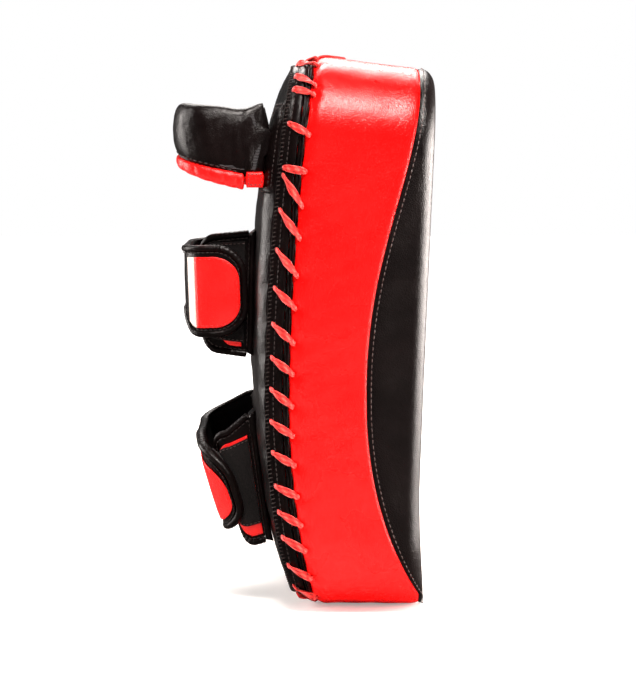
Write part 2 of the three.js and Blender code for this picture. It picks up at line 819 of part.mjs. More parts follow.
	// Tongue: padded leather with a rim, a red panel and a loop tape, sewn to the near side
	const tongueCorners = [ size.tongueCorner, size.tongueCorner ];
	const tongueStart = Math.max( ...[ tongueLow, tongueHigh ].map( nearFoot ) );
	const tongue = tabOutline( {
		root: tongueStart, tip: size.tongueTip + foot.flange - rimWidth,
		low: tongueLow + rimWidth, high: tongueHigh - rimWidth, corners: tongueCorners,
	} );
	tongue.lower[ 0 ].s = Math.max( nearFoot( tongueLow ), nearFoot( tongueLow + rimWidth ) );
	tongue.upper.at( - 1 ).s = Math.max( nearFoot( tongueHigh ), nearFoot( tongueHigh - rimWidth ) );
	const tongueBack = - inner - layers.tongue;
	add( 'tongue', belt.slab( outlineStations( tongue ), tongueBack, - inner ), finish.blackLeather );
	add( 'tongue_rim', belt.rim( tongue.edge, rimWidth, tongueBack - rimProud / 2, - inner + rimProud ), finish.blackLeather );
	const redTab = tabOutline( {
		root: tongueStart + foot.flange, tip: size.tongueTip - rimWidth,
		low: tongueLow + rimWidth + size.panelMargin, high: tongueHigh - rimWidth - size.panelMargin,
		corners: tongueCorners,
	} );
	add( 'tongue_panel', belt.slab( outlineStations( redTab ), - inner + gap, - inner + gap + skin ), finish.redLeather );
	const loops = tabOutline( {
		root: tongueStart + foot.flange, tip: size.tongueTip - rimWidth,
		low: tongueLow + 3 * rimWidth, high: tongueHigh - 3 * rimWidth, corners: tongueCorners.map( ( r ) => r / 2 ),
	} );
	add( 'loop_tape', belt.slab( outlineStations( loops ), - gap / 2 - tape, - gap / 2 ), finish.tape );

	// The sewn-down feet of the strap, laid on the back panel
	const sewnFoot = ( side, from, top, low, high ) => {

		const across = acrossFoot( from );
		const rows = spread( low, high, foot.steps ).map( ( w ) => {

			const under = across.map( ( y ) => new THREE.Vector3( backAt( y, w ) - foot.lift, y, w ) );
			const over = across.map( ( y ) => new THREE.Vector3( top( w ), y, w ) );
			return [ ...under, ...over.reverse() ];

		} );
		add( `${ side }_foot`, loft( rows, { capped: true } ), finish.blackLeather );

	};

	sewnFoot( 'near', size.nearY, nearTop, tongueLow, tongueHigh );
	sewnFoot( 'far', farFrom, farTop, flapLow, flapHigh );

	const line = ( label, x, y ) => hinges.push( {
		label, group, point: new THREE.Vector3( x, y, 0 ), way: new THREE.Vector3( 0, 0, - 1 ),
	} );
	line( `${ name }_band_swing`, hinge.x, hinge.y );
	line( `${ name }_flap_peel`, crestX - outer, nearY + peelAt - ends[ 1 ] );
	line( `${ name }_tongue_fold`, Math.min( nearTop( tongueLow ), nearTop( tongueHigh ) ) - gap, size.nearY - tongueBack );

}

// The hand loop and its anchors

function handLoop() {

	const { halfSpan, reach, rootX, thickness, cornerRadius: corner, wall, top, hingeZ } = handle;
	const crest = - reach + thickness / 2;
	const [ bendX, bendY ] = [ crest + corner, halfSpan - corner ];
	const plan = planOf( [
		{ from: [ rootX, - halfSpan ], to: [ bendX, - halfSpan ] },
		{ radius: corner, x: bendX, y: - bendY, from: - Math.PI / 2, to: - Math.PI },
		{ from: [ crest, - bendY ], to: [ crest, bendY ] },
		{ radius: corner, x: bendX, y: bendY, from: Math.PI, to: Math.PI / 2 },
		{ from: [ bendX, halfSpan ], to: [ rootX, halfSpan ] },
	] );
	const belt = new Belt( plan );
	const ends = plan.getCurveLengths();
	const { tabLength, bindingThickness, tabThickness } = handle;
	const stops = [
		0, tabLength, ...spread( ends[ 0 ], ends[ 1 ], handle.steps ),
		...spread( ends[ 1 ], ends[ 2 ], handle.crestSteps ).slice( 1 ),
		...spread( ends[ 2 ], ends[ 3 ], handle.steps ).slice( 1 ), belt.length - tabLength, belt.length,
	];
	const fromEnd = ( s ) => Math.min( s, belt.length - s );
	const rootShare = ( s ) => clamp( ( ends[ 1 ] - fromEnd( s ) ) / ( ends[ 1 ] - tabLength ), 0, 1 );
	const footZ = ( s ) => lerp( handle.crestFoot, handle.rootFoot, rootShare( s ) );
	const slantShare = Math.tan( degToRad( handle.slantDegrees ) );

	// The legs' ends slope away from their seats, above and below them
	const rootBack = ( s, w ) => {

		const slant = slantShare * Math.max( Math.abs( w - hingeZ ) - handle.seatHalf, 0 );
		if ( s < weld ) return slant;
		return s > belt.length - weld ? - slant : 0;

	};

	const oval = ( s, trim ) => {

		const [ low, high ] = [ footZ( s ) + trim, top - trim ];
		const half = thickness / 2 - trim;
		const bevel = half * handle.bevelShare;
		const [ seatLow, seatHigh ] = [ hingeZ - handle.seatHalf, hingeZ + handle.seatHalf ];
		return [
			[ low, - half + bevel ], [ low, half - bevel ], [ low + bevel, half ], [ seatLow, half ], [ seatHigh, half ],
			[ high - bevel, half ], [ high, half - bevel ], [ high, - half + bevel ], [ high - bevel, - half ],
			[ seatHigh, - half ], [ seatLow, - half ], [ low + bevel, - half ],
		].map( ( [ w, t ] ) => belt.at( s + rootBack( s, w ), w, t ) );

	};

	const outer = stops.map( ( s ) => oval( s, 0 ) );
	const inner = stops.map( ( s ) => oval( s, wall ) );
	addNode( 'handle_grip', loft( [ ...outer, ...inner.reverse() ], { joined: true } ), finish.blackLeather );
	addNode( 'handle_core', loft( stops.map( ( s ) => oval( s, wall + gap ) ), { capped: true } ), finish.webbing );

	const bindingDepth = ( s ) => lerp( handle.bindingCrest, handle.bindingRoot, rootShare( s ) );
	const strip = ( s, half ) => {

		const high = footZ( s ) - gap;
		const low = high - bindingDepth( s );
		return [ [ low, - half ], [ low, half ], [ high, half ], [ high, - half ] ]
			.map( ( [ w, t ] ) => belt.at( s + rootBack( s, w ), w, t ) );

	};

	const bound = [ tabLength + gap, ...stops.slice( 2, - 2 ), belt.length - tabLength - gap ];
	const binding = loft( bound.map( ( s ) => strip( s, bindingThickness / 2 ) ), { capped: true } );
	addNode( 'handle_binding', binding, finish.redLeather );
	const tab = ( name, from, to ) => addNode( name,
		loft( [ from, to ].map( ( s ) => strip( s, tabThickness / 2 ) ), { capped: true } ), finish.redLeather );
	tab( 'handle_near_tab', 0, tabLength );
	tab( 'handle_far_tab', belt.length - tabLength, belt.length );

	[ [ 'near', - 1 ], [ 'far', 1 ] ].forEach( ( [ side, way ] ) => {

		const middle = way * halfSpan;
		const sewn = ( half, low, high, lift, depth ) => {

			const rows = spread( low, high, handle.anchorSteps ).map( ( z ) => {

				const across = spread( middle - half, middle + half, foot.steps );
				const under = across.map( ( y ) => new THREE.Vector3( backSkinX( y, z ) - lift, y, z ) );
				const over = across.map( ( y ) => new THREE.Vector3( depth( y, z ), y, z ) );
				return [ ...under, ...over.reverse() ];

			} );
			return toSolid( loft( rows, { capped: true } ) );

		};

		const base = ( y, z ) => backSkinX( y, z ) - foot.lift - handle.anchorBase;
		const half = handle.anchorHalfWidth;
		const patch = sewn( half, handle.anchorLow, handle.anchorHigh, foot.lift, base );
		const knuckleLift = foot.lift + handle.anchorBase / 2;
		const knuckle = sewn( thickness / 2, hingeZ - half, hingeZ + half, knuckleLift, () => rootX + gap );
		addNode( `handle_${ side }_anchor`, toGeometry( patch.add( knuckle ) ), finish.blackLeather );

	} );
	hinges.push( {
		label: 'handle_rock', group: pad, point: new THREE.Vector3( rootX, 0, hingeZ ), way: new THREE.Vector3( 0, 1, 0 ),
	} );

}

// The back panel's outer face near its rounded edge, at a real height
function backSkinX( y, realZ ) {

	let x = backLine.crownX;
	for ( let turn = 0; turn < settleTurns; turn ++ ) x = backEdgeX( y, realZ / slopeAt( x ) );
	return x;

}

function backEdgeX( y, z ) {

	const { insets, easeShares } = backTurn;
	const { width, height, cornerRadius } = block;
	const [ overY, overZ ] = [ Math.abs( y ) - width / 2 + cornerRadius, Math.max( z - height + cornerRadius, 0 ) ];
	const reach = Math.hypot( overY, overZ );
	const inset = cornerRadius - reach;
	const rimZ = z + inset * overZ / reach;
	const stops = [ backEdge, ...insets ];
	const shares = [ 0, ...easeShares ];
	const k = clamp( stops.findIndex( ( stop ) => stop > inset ), 1, insets.length );
	const within = ( inset - stops[ k - 1 ] ) / ( stops[ k ] - stops[ k - 1 ] );
	const ease = inset >= backWide ? 1 : lerp( shares[ k - 1 ], shares[ k ], within );
	return lerp( lacedX( rimZ ) - backStart, backX( y, z ), ease );

}

const hinges = [];

addNode( 'strike_panel', strikePanel(), finish.blackLeather );
addNode( 'side_wall', punch( sideWall(), - lacing.wallHole, wallHoles ), finish.redLeather );
addNode( 'lacing_welt', lacingWelt(), finish.blackLeather );
addNode( 'lacing_band', punch( lacingBand(), lacing.bandHole, bandHoles ), finish.blackLeather );
addNode( 'back_panel', backPanel(), finish.blackLeather );
foamLayers();
const route = laceRoute();
addNode( 'lace', laceTube( route ), finish.lace );
handLoop();
forearmStrap( 'upper', straps.upper );
forearmStrap( 'lower', straps.lower );

// The origin goes under the middle of the box
pad.updateMatrixWorld( true );
const box = new THREE.Box3().setFromObject( pad, true );
const middle = box.getCenter( new THREE.Vector3() );
pad.position.set( - middle.x, - middle.y, - box.min.z );
pad.updateMatrixWorld( true );

const whole = box.getSize( new THREE.Vector3() ).toArray().map( ( v ) => v.toFixed( 1 ) );
console.log( `box ${ whole.join( ' x ' ) } mm` );
console.log( `lace: ${ holes.length } stitches, least gap to itself ${ leastLaceGap( route ).toFixed( 2 ) } mm` );
hinges.forEach( ( { label, group, point, way } ) => {

	const at = point.clone().applyMatrix4( group.matrixWorld ).toArray().map( ( v ) => v.toFixed( 2 ) );
	const axis = way.clone().transformDirection( group.matrixWorld ).toArray().map( ( v ) => v.toFixed( 4 ) );
	console.log( `${ label } at ${ at.join( ', ' ) } along ${ axis.join( ', ' ) }` );

} );

export default pad;
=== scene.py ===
"""Looks of a thai pad: a laced leather block, a padded hand loop and two forearm straps."""

import json
import logging
import math
from dataclasses import dataclass, field
from enum import Enum
from typing import Any, Callable, Sequence

import bpy
import numpy as np
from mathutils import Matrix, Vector

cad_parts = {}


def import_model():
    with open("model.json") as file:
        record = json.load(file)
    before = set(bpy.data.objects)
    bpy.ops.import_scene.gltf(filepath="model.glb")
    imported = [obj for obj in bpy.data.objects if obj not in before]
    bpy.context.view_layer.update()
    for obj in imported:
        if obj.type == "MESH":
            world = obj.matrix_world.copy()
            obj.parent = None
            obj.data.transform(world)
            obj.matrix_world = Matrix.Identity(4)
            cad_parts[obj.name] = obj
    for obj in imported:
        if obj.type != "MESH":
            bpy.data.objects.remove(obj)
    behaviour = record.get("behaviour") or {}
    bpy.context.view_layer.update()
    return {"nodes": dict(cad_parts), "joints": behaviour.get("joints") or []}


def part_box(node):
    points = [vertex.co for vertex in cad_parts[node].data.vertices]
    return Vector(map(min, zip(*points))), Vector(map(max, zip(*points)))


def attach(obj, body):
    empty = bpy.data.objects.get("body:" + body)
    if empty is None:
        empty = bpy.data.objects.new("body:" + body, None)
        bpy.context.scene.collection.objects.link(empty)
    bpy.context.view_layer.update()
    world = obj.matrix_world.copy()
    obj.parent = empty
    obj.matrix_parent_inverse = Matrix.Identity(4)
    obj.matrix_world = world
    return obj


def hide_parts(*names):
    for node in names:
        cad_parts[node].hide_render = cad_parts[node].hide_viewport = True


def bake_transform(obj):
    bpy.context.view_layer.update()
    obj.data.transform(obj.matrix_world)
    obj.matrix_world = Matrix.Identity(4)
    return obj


LOG = logging.getLogger("thai_pad")
MM = 0.001
FULL_TURN = 2 * math.pi
Array = np.ndarray
Obj = bpy.types.Object
Socket = bpy.types.NodeSocket
Colour = tuple[float, float, float]
Lay = Callable[[Array, Array], Array]
Puff = Callable[[Array, Array, Array], Array]


def lerp(a: Any, b: Any, share: Any) -> Any:
    """The value at a share of the way from a to b."""
    return a + (b - a) * share


def smooth(low: float, high: float, value: Any) -> Any:
    """A soft step from 0 at low to 1 at high."""
    share = np.clip((value - low) / (high - low), 0, 1)
    return share * share * (3 - 2 * share)


def bell(off: Any, width: float, power: float = 2) -> Any:
    """A soft bump: 1 where off is 0, and nearly 0 beyond twice its width."""
    return np.exp(-(off / width) ** power)


def stretch(value: Array, power: float) -> Array:
    """A value's size to a power, with its sign kept."""
    return np.sign(value) * np.abs(value) ** power


def rounded(share: Array) -> Array:
    """A quarter round: 0 at 0, and 1 from 1 on."""
    return np.sqrt(1 - (1 - np.clip(share, 0, 1)) ** 2)


def unit(vectors: Array) -> Array:
    """Each row at length 1."""
    return vectors / np.maximum(np.linalg.norm(vectors, axis=-1, keepdims=True), 1e-9)


def square_to(face: Array, along: Array) -> Array:
    """Ways turned square to the ways along a path."""
    return unit(face - along * (face * along).sum(axis=1, keepdims=True))


def length_at(path: Array) -> Array:
    """The length along a path at each of its points."""
    return np.concatenate([[0], np.cumsum(np.linalg.norm(np.diff(path, axis=0), axis=1))])


def round_ends(path: Array, reach: float) -> Array:
    """Sizes along a path that close both of its ends over a reach in mm."""
    along = length_at(path)
    return rounded(np.minimum(along, along[-1] - along) / reach)


def waver(points: Array, size: float, seed: int) -> Array:
    """A soft irregular swing between about -1 and 1, with swings of about a size in mm."""
    dice = np.random.default_rng(seed)
    total = np.zeros(len(points))
    for _ in range(6):
        way = unit(dice.normal(size=3)) * 2 * math.pi / (size * dice.uniform(0.7, 1.5))
        total += np.sin(points @ way + dice.uniform(0, 2 * math.pi))
    return total / 3


def box_line(a0: float, a1: float, b0: float, b1: float, steps: int) -> tuple[Array, Array]:
    """Points round a rectangle, with a number of steps on each side."""
    corners = np.array([(a0, b0), (a1, b0), (a1, b1), (a0, b1), (a0, b0)])
    share = np.linspace(0, 1, steps, endpoint=False)[:, None]
    fine = np.concatenate([lerp(a, b, share) for a, b in zip(corners[:-1], corners[1:])])
    return fine[:, 0], fine[:, 1]


def curve_through(points: Array, steps: int) -> Array:
    """A smooth line through points, with steps pieces between each two."""
    ends = np.concatenate([[2 * points[0] - points[1]], points, [2 * points[-1] - points[-2]]])
    t = np.linspace(0, 1, steps, endpoint=False)[:, None]
    made = [0.5 * (2 * b + (c - a) * t + (2 * a - 5 * b + 4 * c - d) * t ** 2
                   + (3 * b - a - 3 * c + d) * t ** 3)
            for a, b, c, d in zip(ends[:-3], ends[1:-2], ends[2:-1], ends[3:])]
    return np.concatenate([*made, points[-1:]])


# Mesh helpers


def pick_only(*pieces: Obj) -> None:
    """Selects pieces and nothing else, with the first one active."""
    bpy.ops.object.select_all(action="DESELECT")
    for piece in pieces:
        piece.select_set(True)
        bpy.context.view_layer.objects.active = pieces[0]


def rows_grid(name: str, around: int, rows: Lay, count: int) -> Obj:
    """Adds a grid, lays out its rows as a shape, closes its seams and turns its faces outwards.

    Args:
        name: the piece's name.
        around: faces along each row.
        rows: gives places in mm for u, from 0 to 1 along a row, and the row's number.
        count: how many rows there are.

    Returns:
        The new piece, smooth shaded, with the grid's own UV map.
    """
    pick_only()
    bpy.ops.mesh.primitive_grid_add(x_subdivisions=around, y_subdivisions=count - 1, size=1)
    piece = bpy.context.active_object
    piece.name = piece.data.name = name
    flat = np.empty(len(piece.data.vertices) * 3)
    piece.data.vertices.foreach_get("co", flat)
    u, v = np.clip(flat.reshape(-1, 3)[:, :2].T + 0.5, 0, 1)
    places = rows(u, np.rint(v * (count - 1)).astype(int))
    piece.data.vertices.foreach_set("co", (places * MM).ravel())
    bpy.ops.object.mode_set(mode="EDIT")
    bpy.ops.mesh.select_all(action="SELECT")
    bpy.ops.mesh.remove_doubles(threshold=0.00002)
    bpy.ops.mesh.dissolve_degenerate(threshold=0.00001)
    bpy.ops.mesh.normals_make_consistent(inside=False)
    bpy.ops.object.mode_set(mode="OBJECT")
    bpy.ops.object.shade_smooth()
    return piece


def sweep(name: str, path: Array, side: Array, face: Array, oval: tuple[float, float, float], around: int,
          scale: Array | tuple[Array, Array]) -> Obj:
    """A solid swept along a path.

    Args:
        name: the piece's name.
        path: the middle of each row in mm.
        side: the way of the section's width at each row.
        face: the way of its height.
        oval: width and height in mm, and a power between an ellipse (2) and a box.
        around: faces round the section.
        scale: the section's size at each row, or one size for each way; an end at 0 closes it.

    Returns:
        The swept piece.
    """
    wide, tall = scale if isinstance(scale, tuple) else (scale, scale)
    width, height, power = oval

    def rows(u: Array, k: Array) -> Array:
        """Places round each row."""
        a, b = (stretch(turn(u * FULL_TURN), 2 / power) for turn in (np.cos, np.sin))
        return (path[k] + (a * width / 2 * wide[k])[:, None] * side[k]
                + (b * height / 2 * tall[k])[:, None] * face[k])

    return rows_grid(name, around, rows, len(path))


def join(pieces: Sequence[Obj], name: str) -> Obj:
    """Joins pieces into the first of them and renames it."""
    pick_only(*pieces)
    if len(pieces) > 1:
        bpy.ops.object.join()
    pieces[0].name = pieces[0].data.name = name
    return pieces[0]


def copies(name: str, model: Obj, middles: Array, along: Array, up: Array) -> Obj:
    """Copies one small modelled shape to many places, as one mesh, and removes the model.

    Args:
        name: the new piece's name.
        model: the shape, at the origin, with its length on x and its top on z.
        middles: where each copy goes, in mm.
        along: the way of each copy's x.
        up: the way of each copy's z.

    Returns:
        The piece that holds all copies.
    """
    points = np.array([v.co[:] for v in model.data.vertices])
    faces = [tuple(p.vertices) for p in model.data.polygons]
    ahead = unit(along)
    side = unit(np.cross(up, ahead))
    top = np.cross(ahead, side)
    places = (middles * MM)[:, None] + (points[None, :, 0, None] * ahead[:, None]
                                        + points[None, :, 1, None] * side[:, None]
                                        + points[None, :, 2, None] * top[:, None])
    mesh = bpy.data.meshes.new(name)
    mesh.from_pydata(places.reshape(-1, 3).tolist(), [],
                     [tuple(i + k * len(points) for i in f) for k in range(len(middles)) for f in faces])
    mesh.shade_smooth()
    piece = bpy.data.objects.new(name, mesh)
    bpy.context.collection.objects.link(piece)
    bpy.data.objects.remove(model)
    return piece


@dataclass(frozen=True)
class Thread:
    """A row of stitches: its pitch, and each stitch's length and thickness, in mm."""
    pitch: float
    length: float
    thickness: float = 0.7

    def stitch(self) -> Obj:
        """One stitch, sunk a little at both ends."""
        pick_only()
        bpy.ops.mesh.primitive_uv_sphere_add(segments=8, ring_count=6, radius=0.5, location=(0, 0, 0))
        made = bpy.context.active_object
        for v in made.data.vertices:
            x, y, z = v.co.z * 2, v.co.x * 2, v.co.y * 2
            reach = math.copysign(abs(x) ** 0.8, x)
            v.co = Vector((reach * self.length / 2, y * self.thickness / 2,
                           z * self.thickness / 2 - 0.35 * self.thickness * x * x)) * MM
        made.data.flip_normals()
        return made

    def sew(self, name: str, path: Array, up: Array) -> Obj:
        """A row of stitches along a path in mm, with the way out of the leather at each of its points."""
        along = length_at(path)
        count = max(int(along[-1] / self.pitch), 1)
        at = (np.arange(count) + 0.5) * along[-1] / count

        def pick(values: Array, where: Array) -> Array:
            """Values at lengths along the path."""
            return np.stack([np.interp(where, along, values[:, k]) for k in range(3)], axis=1)

        ahead = pick(path, at + 0.4 * self.length) - pick(path, at - 0.4 * self.length)
        return copies(name, self.stitch(), pick(path, at), ahead, unit(pick(up, at)))


STRIKE_THREAD = Thread(4.1, 3.1, 0.75)
BAND_THREAD = Thread(3.6, 2.7)
EDGE_THREAD = Thread(2.98, 3.6, 0.75)
TAB_THREAD = Thread(2.9, 2.1, 0.6)
LOOP_THREAD = Thread(4.2, 3.0)
PATCH_THREAD = Thread(3.4, 2.5)
STRAP_THREAD = Thread(3.4, 2.5, 0.65)
PILE_THREAD = Thread(3.0, 2.0, 0.55)


# Materials


class Graph:
    """A shader node tree, with short ways to add nodes to it."""

    def __init__(self, tree: bpy.types.NodeTree) -> None:
        """Keeps the tree."""
        self.tree = tree

    def set(self, made: bpy.types.Node, inputs: dict[Any, Any]) -> bpy.types.Node:
        """Gives a node's inputs a value or another node's output each."""
        for key, value in inputs.items():
            socket = made.inputs[key]
            if isinstance(value, Socket):
                self.tree.links.new(value, socket)
            else:
                socket.default_value = (*value, 1) if socket.type == "RGBA" else value
        return made

    def add(self, kind: str, inputs: dict[Any, Any] | None = None, **settings: Any) -> bpy.types.Node:
        """Adds a shader node of a kind, with its inputs and its own settings."""
        made = self.tree.nodes.new(f"ShaderNode{kind}")
        for key, value in settings.items():
            setattr(made, key, value)
        return self.set(made, inputs or {})

    def math(self, operation: str, *values: Any) -> Socket:
        """A Math node's result."""
        return self.add("Math", dict(enumerate(values)), operation=operation).outputs[0]

    def noise(self, at: Socket, scale: Any, detail: float, **more: float) -> Socket:
        """Cloudy values."""
        return self.add("TexNoise", {"Vector": at, "Scale": scale, "Detail": detail, **more}).outputs["Fac"]

    def band(self, value: Socket, low: float, high: float, to: tuple[float, float] = (0, 1)) -> Socket:
        """Maps a value from low..high to another range, with soft ends."""
        return self.add("MapRange", {"Value": value, "From Min": low, "From Max": high, "To Min": to[0],
                                     "To Max": to[1]}, interpolation_type="SMOOTHSTEP").outputs[0]

    def mix(self, factor: Any, a: Any, b: Any) -> Socket:
        """A colour between a and b, whose sockets come after those for numbers and vectors."""
        return self.add("Mix", {0: factor, 6: a, 7: b}, data_type="RGBA").outputs[2]

    def group(self, tree: bpy.types.NodeTree, at: Socket, **values: float) -> Sequence[Socket]:
        """The outputs of an effect group with its own values."""
        made = self.tree.nodes.new("ShaderNodeGroup")
        made.node_tree = tree
        return self.set(made, {"Vector": at, **values}).outputs

    def to_eye(self, share: float) -> tuple[Socket, Socket]:
        """How far a glow is seen, by a share in reflections, and whether the ray is a reflection."""
        rays = self.add("LightPath").outputs
        glossy = self.math("MULTIPLY", rays["Is Glossy Ray"], share)
        seen = self.math("MAXIMUM", rays["Is Camera Ray"], glossy)
        return self.math("MAXIMUM", seen, rays["Is Transmission Ray"]), rays["Is Glossy Ray"]


class Surface(Graph):
    """A Principled material; constants go straight on its shader's sockets."""

    def __init__(self, name: str) -> None:
        """Starts the material."""
        self.material = bpy.data.materials.new(name)
        self.material.use_nodes = True
        super().__init__(self.material.node_tree)
        coordinates = self.add("TexCoord").outputs
        self.at, self.uv = coordinates["Object"], coordinates["UV"]

    def finish(self, inputs: dict[str, Any], *bumps: tuple[Socket, float, float]) -> bpy.types.Material:
        """Sets the shader and chains bumps, each a height, a distance in mm and a strength."""
        last: dict[str, Socket] = {}
        for height, distance, strength in bumps:
            last = {"Normal": self.add("Bump", {"Height": height, "Distance": distance * MM,
                                                "Strength": strength, **last}).outputs[0]}
        self.set(self.tree.nodes["Principled BSDF"], {**inputs, **last})
        return self.material


def grain(g: Graph, at: Socket, scale: Socket) -> Sequence[Socket]:
    """Uneven pebbles with fine grooves between them, and a mask of the grooves for painted shade."""
    drift = g.add("TexNoise", {"Vector": at, "Scale": 260.0, "Detail": 2.0}).outputs["Color"]
    # A Mix of vectors has its own sockets after those for numbers
    moved = g.add("Mix", {0: 0.0012, 4: at, 5: drift}, data_type="VECTOR").outputs[1]
    cells = g.add("TexVoronoi", {"Vector": moved, "Scale": scale}, feature="DISTANCE_TO_EDGE")
    pebbles = g.band(cells.outputs["Distance"], 0.0, 0.32)
    fine = g.noise(at, g.math("MULTIPLY", scale, 2.6), 3.0)
    return g.math("MULTIPLY_ADD", fine, 0.5, pebbles), g.math("SUBTRACT", 1.0, pebbles)


def creases(g: Graph, at: Socket, scale: Socket) -> Sequence[Socket]:
    """Thin soft fold lines that wander over the leather."""
    wander = g.noise(at, scale, 4.0, Roughness=0.55, Distortion=0.6)
    return [g.band(g.math("ABSOLUTE", g.math("SUBTRACT", wander, 0.5)), 0.0, 0.035)]


def wear(g: Graph, at: Socket, scale: Socket) -> Sequence[Socket]:
    """Patches where handling has rubbed the surface."""
    return [g.band(g.noise(at, scale, 5.0, Roughness=0.6), 0.48, 0.72)]


def dust(g: Graph, at: Socket, scale: Socket) -> Sequence[Socket]:
    """Fine pale specks in drifts."""
    return [g.math("MULTIPLY", g.band(g.noise(at, scale, 3.0), 0.45, 0.75),
                   g.band(g.noise(at, 1400.0, 2.0), 0.45, 0.7))]


def fibres(g: Graph, at: Socket, scale: Socket) -> Sequence[Socket]:
    """Short fibres that lie across each other."""
    heights = []
    for turn, stretched in ((0.6, 5.0), (-0.7, 6.0)):
        laid = g.add("Mapping", {"Vector": at, "Rotation": (turn, turn, turn),
                                 "Scale": (1.0, 1.0 / stretched, 1.0)})
        heights.append(g.noise(laid.outputs[0], scale, 2.0))
    height = g.math("MAXIMUM", *heights)
    return height, g.band(height, 0.4, 0.7)


class Effects:
    """The effects that several finishes share, each built once as a group that gives masks and heights."""

    def __init__(self) -> None:
        """Builds every group."""
        self.grain = self.made("leather_grain", grain, "Height", "Groove shade")
        self.creases = self.made("leather_creases", creases, "Height")
        self.wear = self.made("rubbed_patches", wear, "Mask")
        self.dust = self.made("settled_dust", dust, "Mask")
        self.fibres = self.made("twisted_fibres", fibres, "Height", "Shade")

    @staticmethod
    def made(name: str, build: Callable[[Graph, Socket, Socket], Sequence[Socket]],
             *outputs: str) -> bpy.types.NodeTree:
        """Makes a group with Vector and Size inputs, and Amount where its output is a mask."""
        g = Graph(bpy.data.node_groups.new(name, "ShaderNodeTree"))
        sockets = [("Vector", "INPUT", "Vector"), ("Size", "INPUT", "Float"), ("Amount", "INPUT", "Float")]
        masked = "Mask" in outputs
        for key, way, kind in sockets[:3 if masked else 2] + [(key, "OUTPUT", "Float") for key in outputs]:
            g.tree.interface.new_socket(key, in_out=way, socket_type=f"NodeSocket{kind}")
        entry = g.tree.nodes.new("NodeGroupInput").outputs
        results = build(g, entry["Vector"], g.math("DIVIDE", 1.0, entry["Size"]))
        if masked:
            results = [g.math("MULTIPLY", results[0], entry["Amount"])]
        g.set(g.tree.nodes.new("NodeGroupOutput"), dict(zip(outputs, results)))
        return g.tree


@dataclass(frozen=True)
class Leather:
    """Coated leather: pebbled grain with painted shade in its grooves, wandering creases, rubbed patches and
    a little dust.
    """
    name: str
    slot: str
    colour: Colour
    # deep is a darker tone at random, and also the painted shade in the grain's grooves
    deep: Colour
    rubbed: Colour
    roughness: float
    specular: float
    grain: float = 0.0016
    grain_depth: float = 0.09
    crease_size: float = 0.05
    crease_depth: float = 0.08
    wear: float = 0.2
    dust: float = 0.01

    def build(self, effects: Effects) -> bpy.types.Material:
        """Makes the material."""
        g = Surface(self.name)
        pebbles = g.group(effects.grain, g.at, Size=self.grain)
        folds = g.group(effects.creases, g.at, Size=self.crease_size)
        rubbed = g.group(effects.wear, g.at, Size=0.035, Amount=self.wear)["Mask"]
        specks = g.group(effects.dust, g.at, Size=0.06, Amount=self.dust)["Mask"]
        cloud = g.noise(g.at, 22.0, 4.0)
        base = g.mix(g.band(cloud, 0.3, 0.7), self.deep, self.colour)
        # Painted shade: the grain's grooves darkened towards the deep colour
        base = g.mix(g.math("MULTIPLY", pebbles["Groove shade"], 0.35), base, self.deep)
        base = g.mix(specks, g.mix(rubbed, base, self.rubbed), (0.5, 0.45, 0.42))
        rough = g.math("MULTIPLY_ADD", cloud, 0.12, self.roughness - 0.06)
        rough = g.math("MULTIPLY_ADD", specks, 0.4, g.math("MULTIPLY_ADD", rubbed, 0.3, rough))
        return g.finish({"Specular IOR Level": self.specular, "Base Color": base, "Roughness": rough},
                        (folds["Height"], self.crease_depth, 0.6), (pebbles["Height"], self.grain_depth, 0.8))


@dataclass(frozen=True)
class Braid:
    """A flat braided cord: strands that cross along the piece's own UV, with painted shade in the grooves
    between them and a painted highlight on their crests.
    """
    name: str
    slot: str
    colour: Colour
    # deep is painted shade in the grooves between strands, and pale a painted highlight on their crests
    deep: Colour
    pale: Colour
    across: float = 6.0
    along: float = 420.0
    slant: float = 0.5
    depth: float = 0.7
    roughness: float = 0.55

    def build(self, effects: Effects) -> bpy.types.Material:
        """Makes the material."""
        g = Surface(self.name)
        split = g.add("SeparateXYZ", {0: g.uv}).outputs
        lanes = g.math("MULTIPLY", split[0], self.across)
        lane = g.math("FLOOR", lanes)
        across = g.math("SUBTRACT", g.math("SUBTRACT", lanes, lane), 0.5)
        ridge = g.math("SUBTRACT", 1.0, g.math("ABSOLUTE", g.math("MULTIPLY", across, 2.0)))
        run = g.math("MULTIPLY_ADD", split[1], self.along, g.math("MULTIPLY", lane, 0.5))
        run = g.math("MULTIPLY_ADD", across, self.slant, run)
        height = g.math("MULTIPLY_ADD", g.math("SINE", g.math("MULTIPLY", run, FULL_TURN)), 0.45, ridge)
        hairs = g.group(effects.fibres, g.at, Size=0.0005)
        # Painted highlight: the pale colour on the strands' crests, broken up by the fibres
        painted_highlight = g.math("MULTIPLY", hairs["Shade"], g.band(height, 0.5, 1.3))
        # Painted shade: the deep colour in the grooves between strands
        base = g.mix(g.math("MULTIPLY", painted_highlight, 0.7), g.mix(g.band(height, -0.3, 0.5), self.deep, self.colour),
                     self.pale)
        rough = g.math("MULTIPLY_ADD", hairs["Shade"], 0.15, self.roughness - 0.1)
        return g.finish({"Specular IOR Level": 0.25, "Sheen Weight": 0.25, "Sheen Roughness": 0.5,
                         "Base Color": base, "Roughness": rough},
                        (height, self.depth / 2, 0.7), (hairs["Height"], 0.12, 0.6))


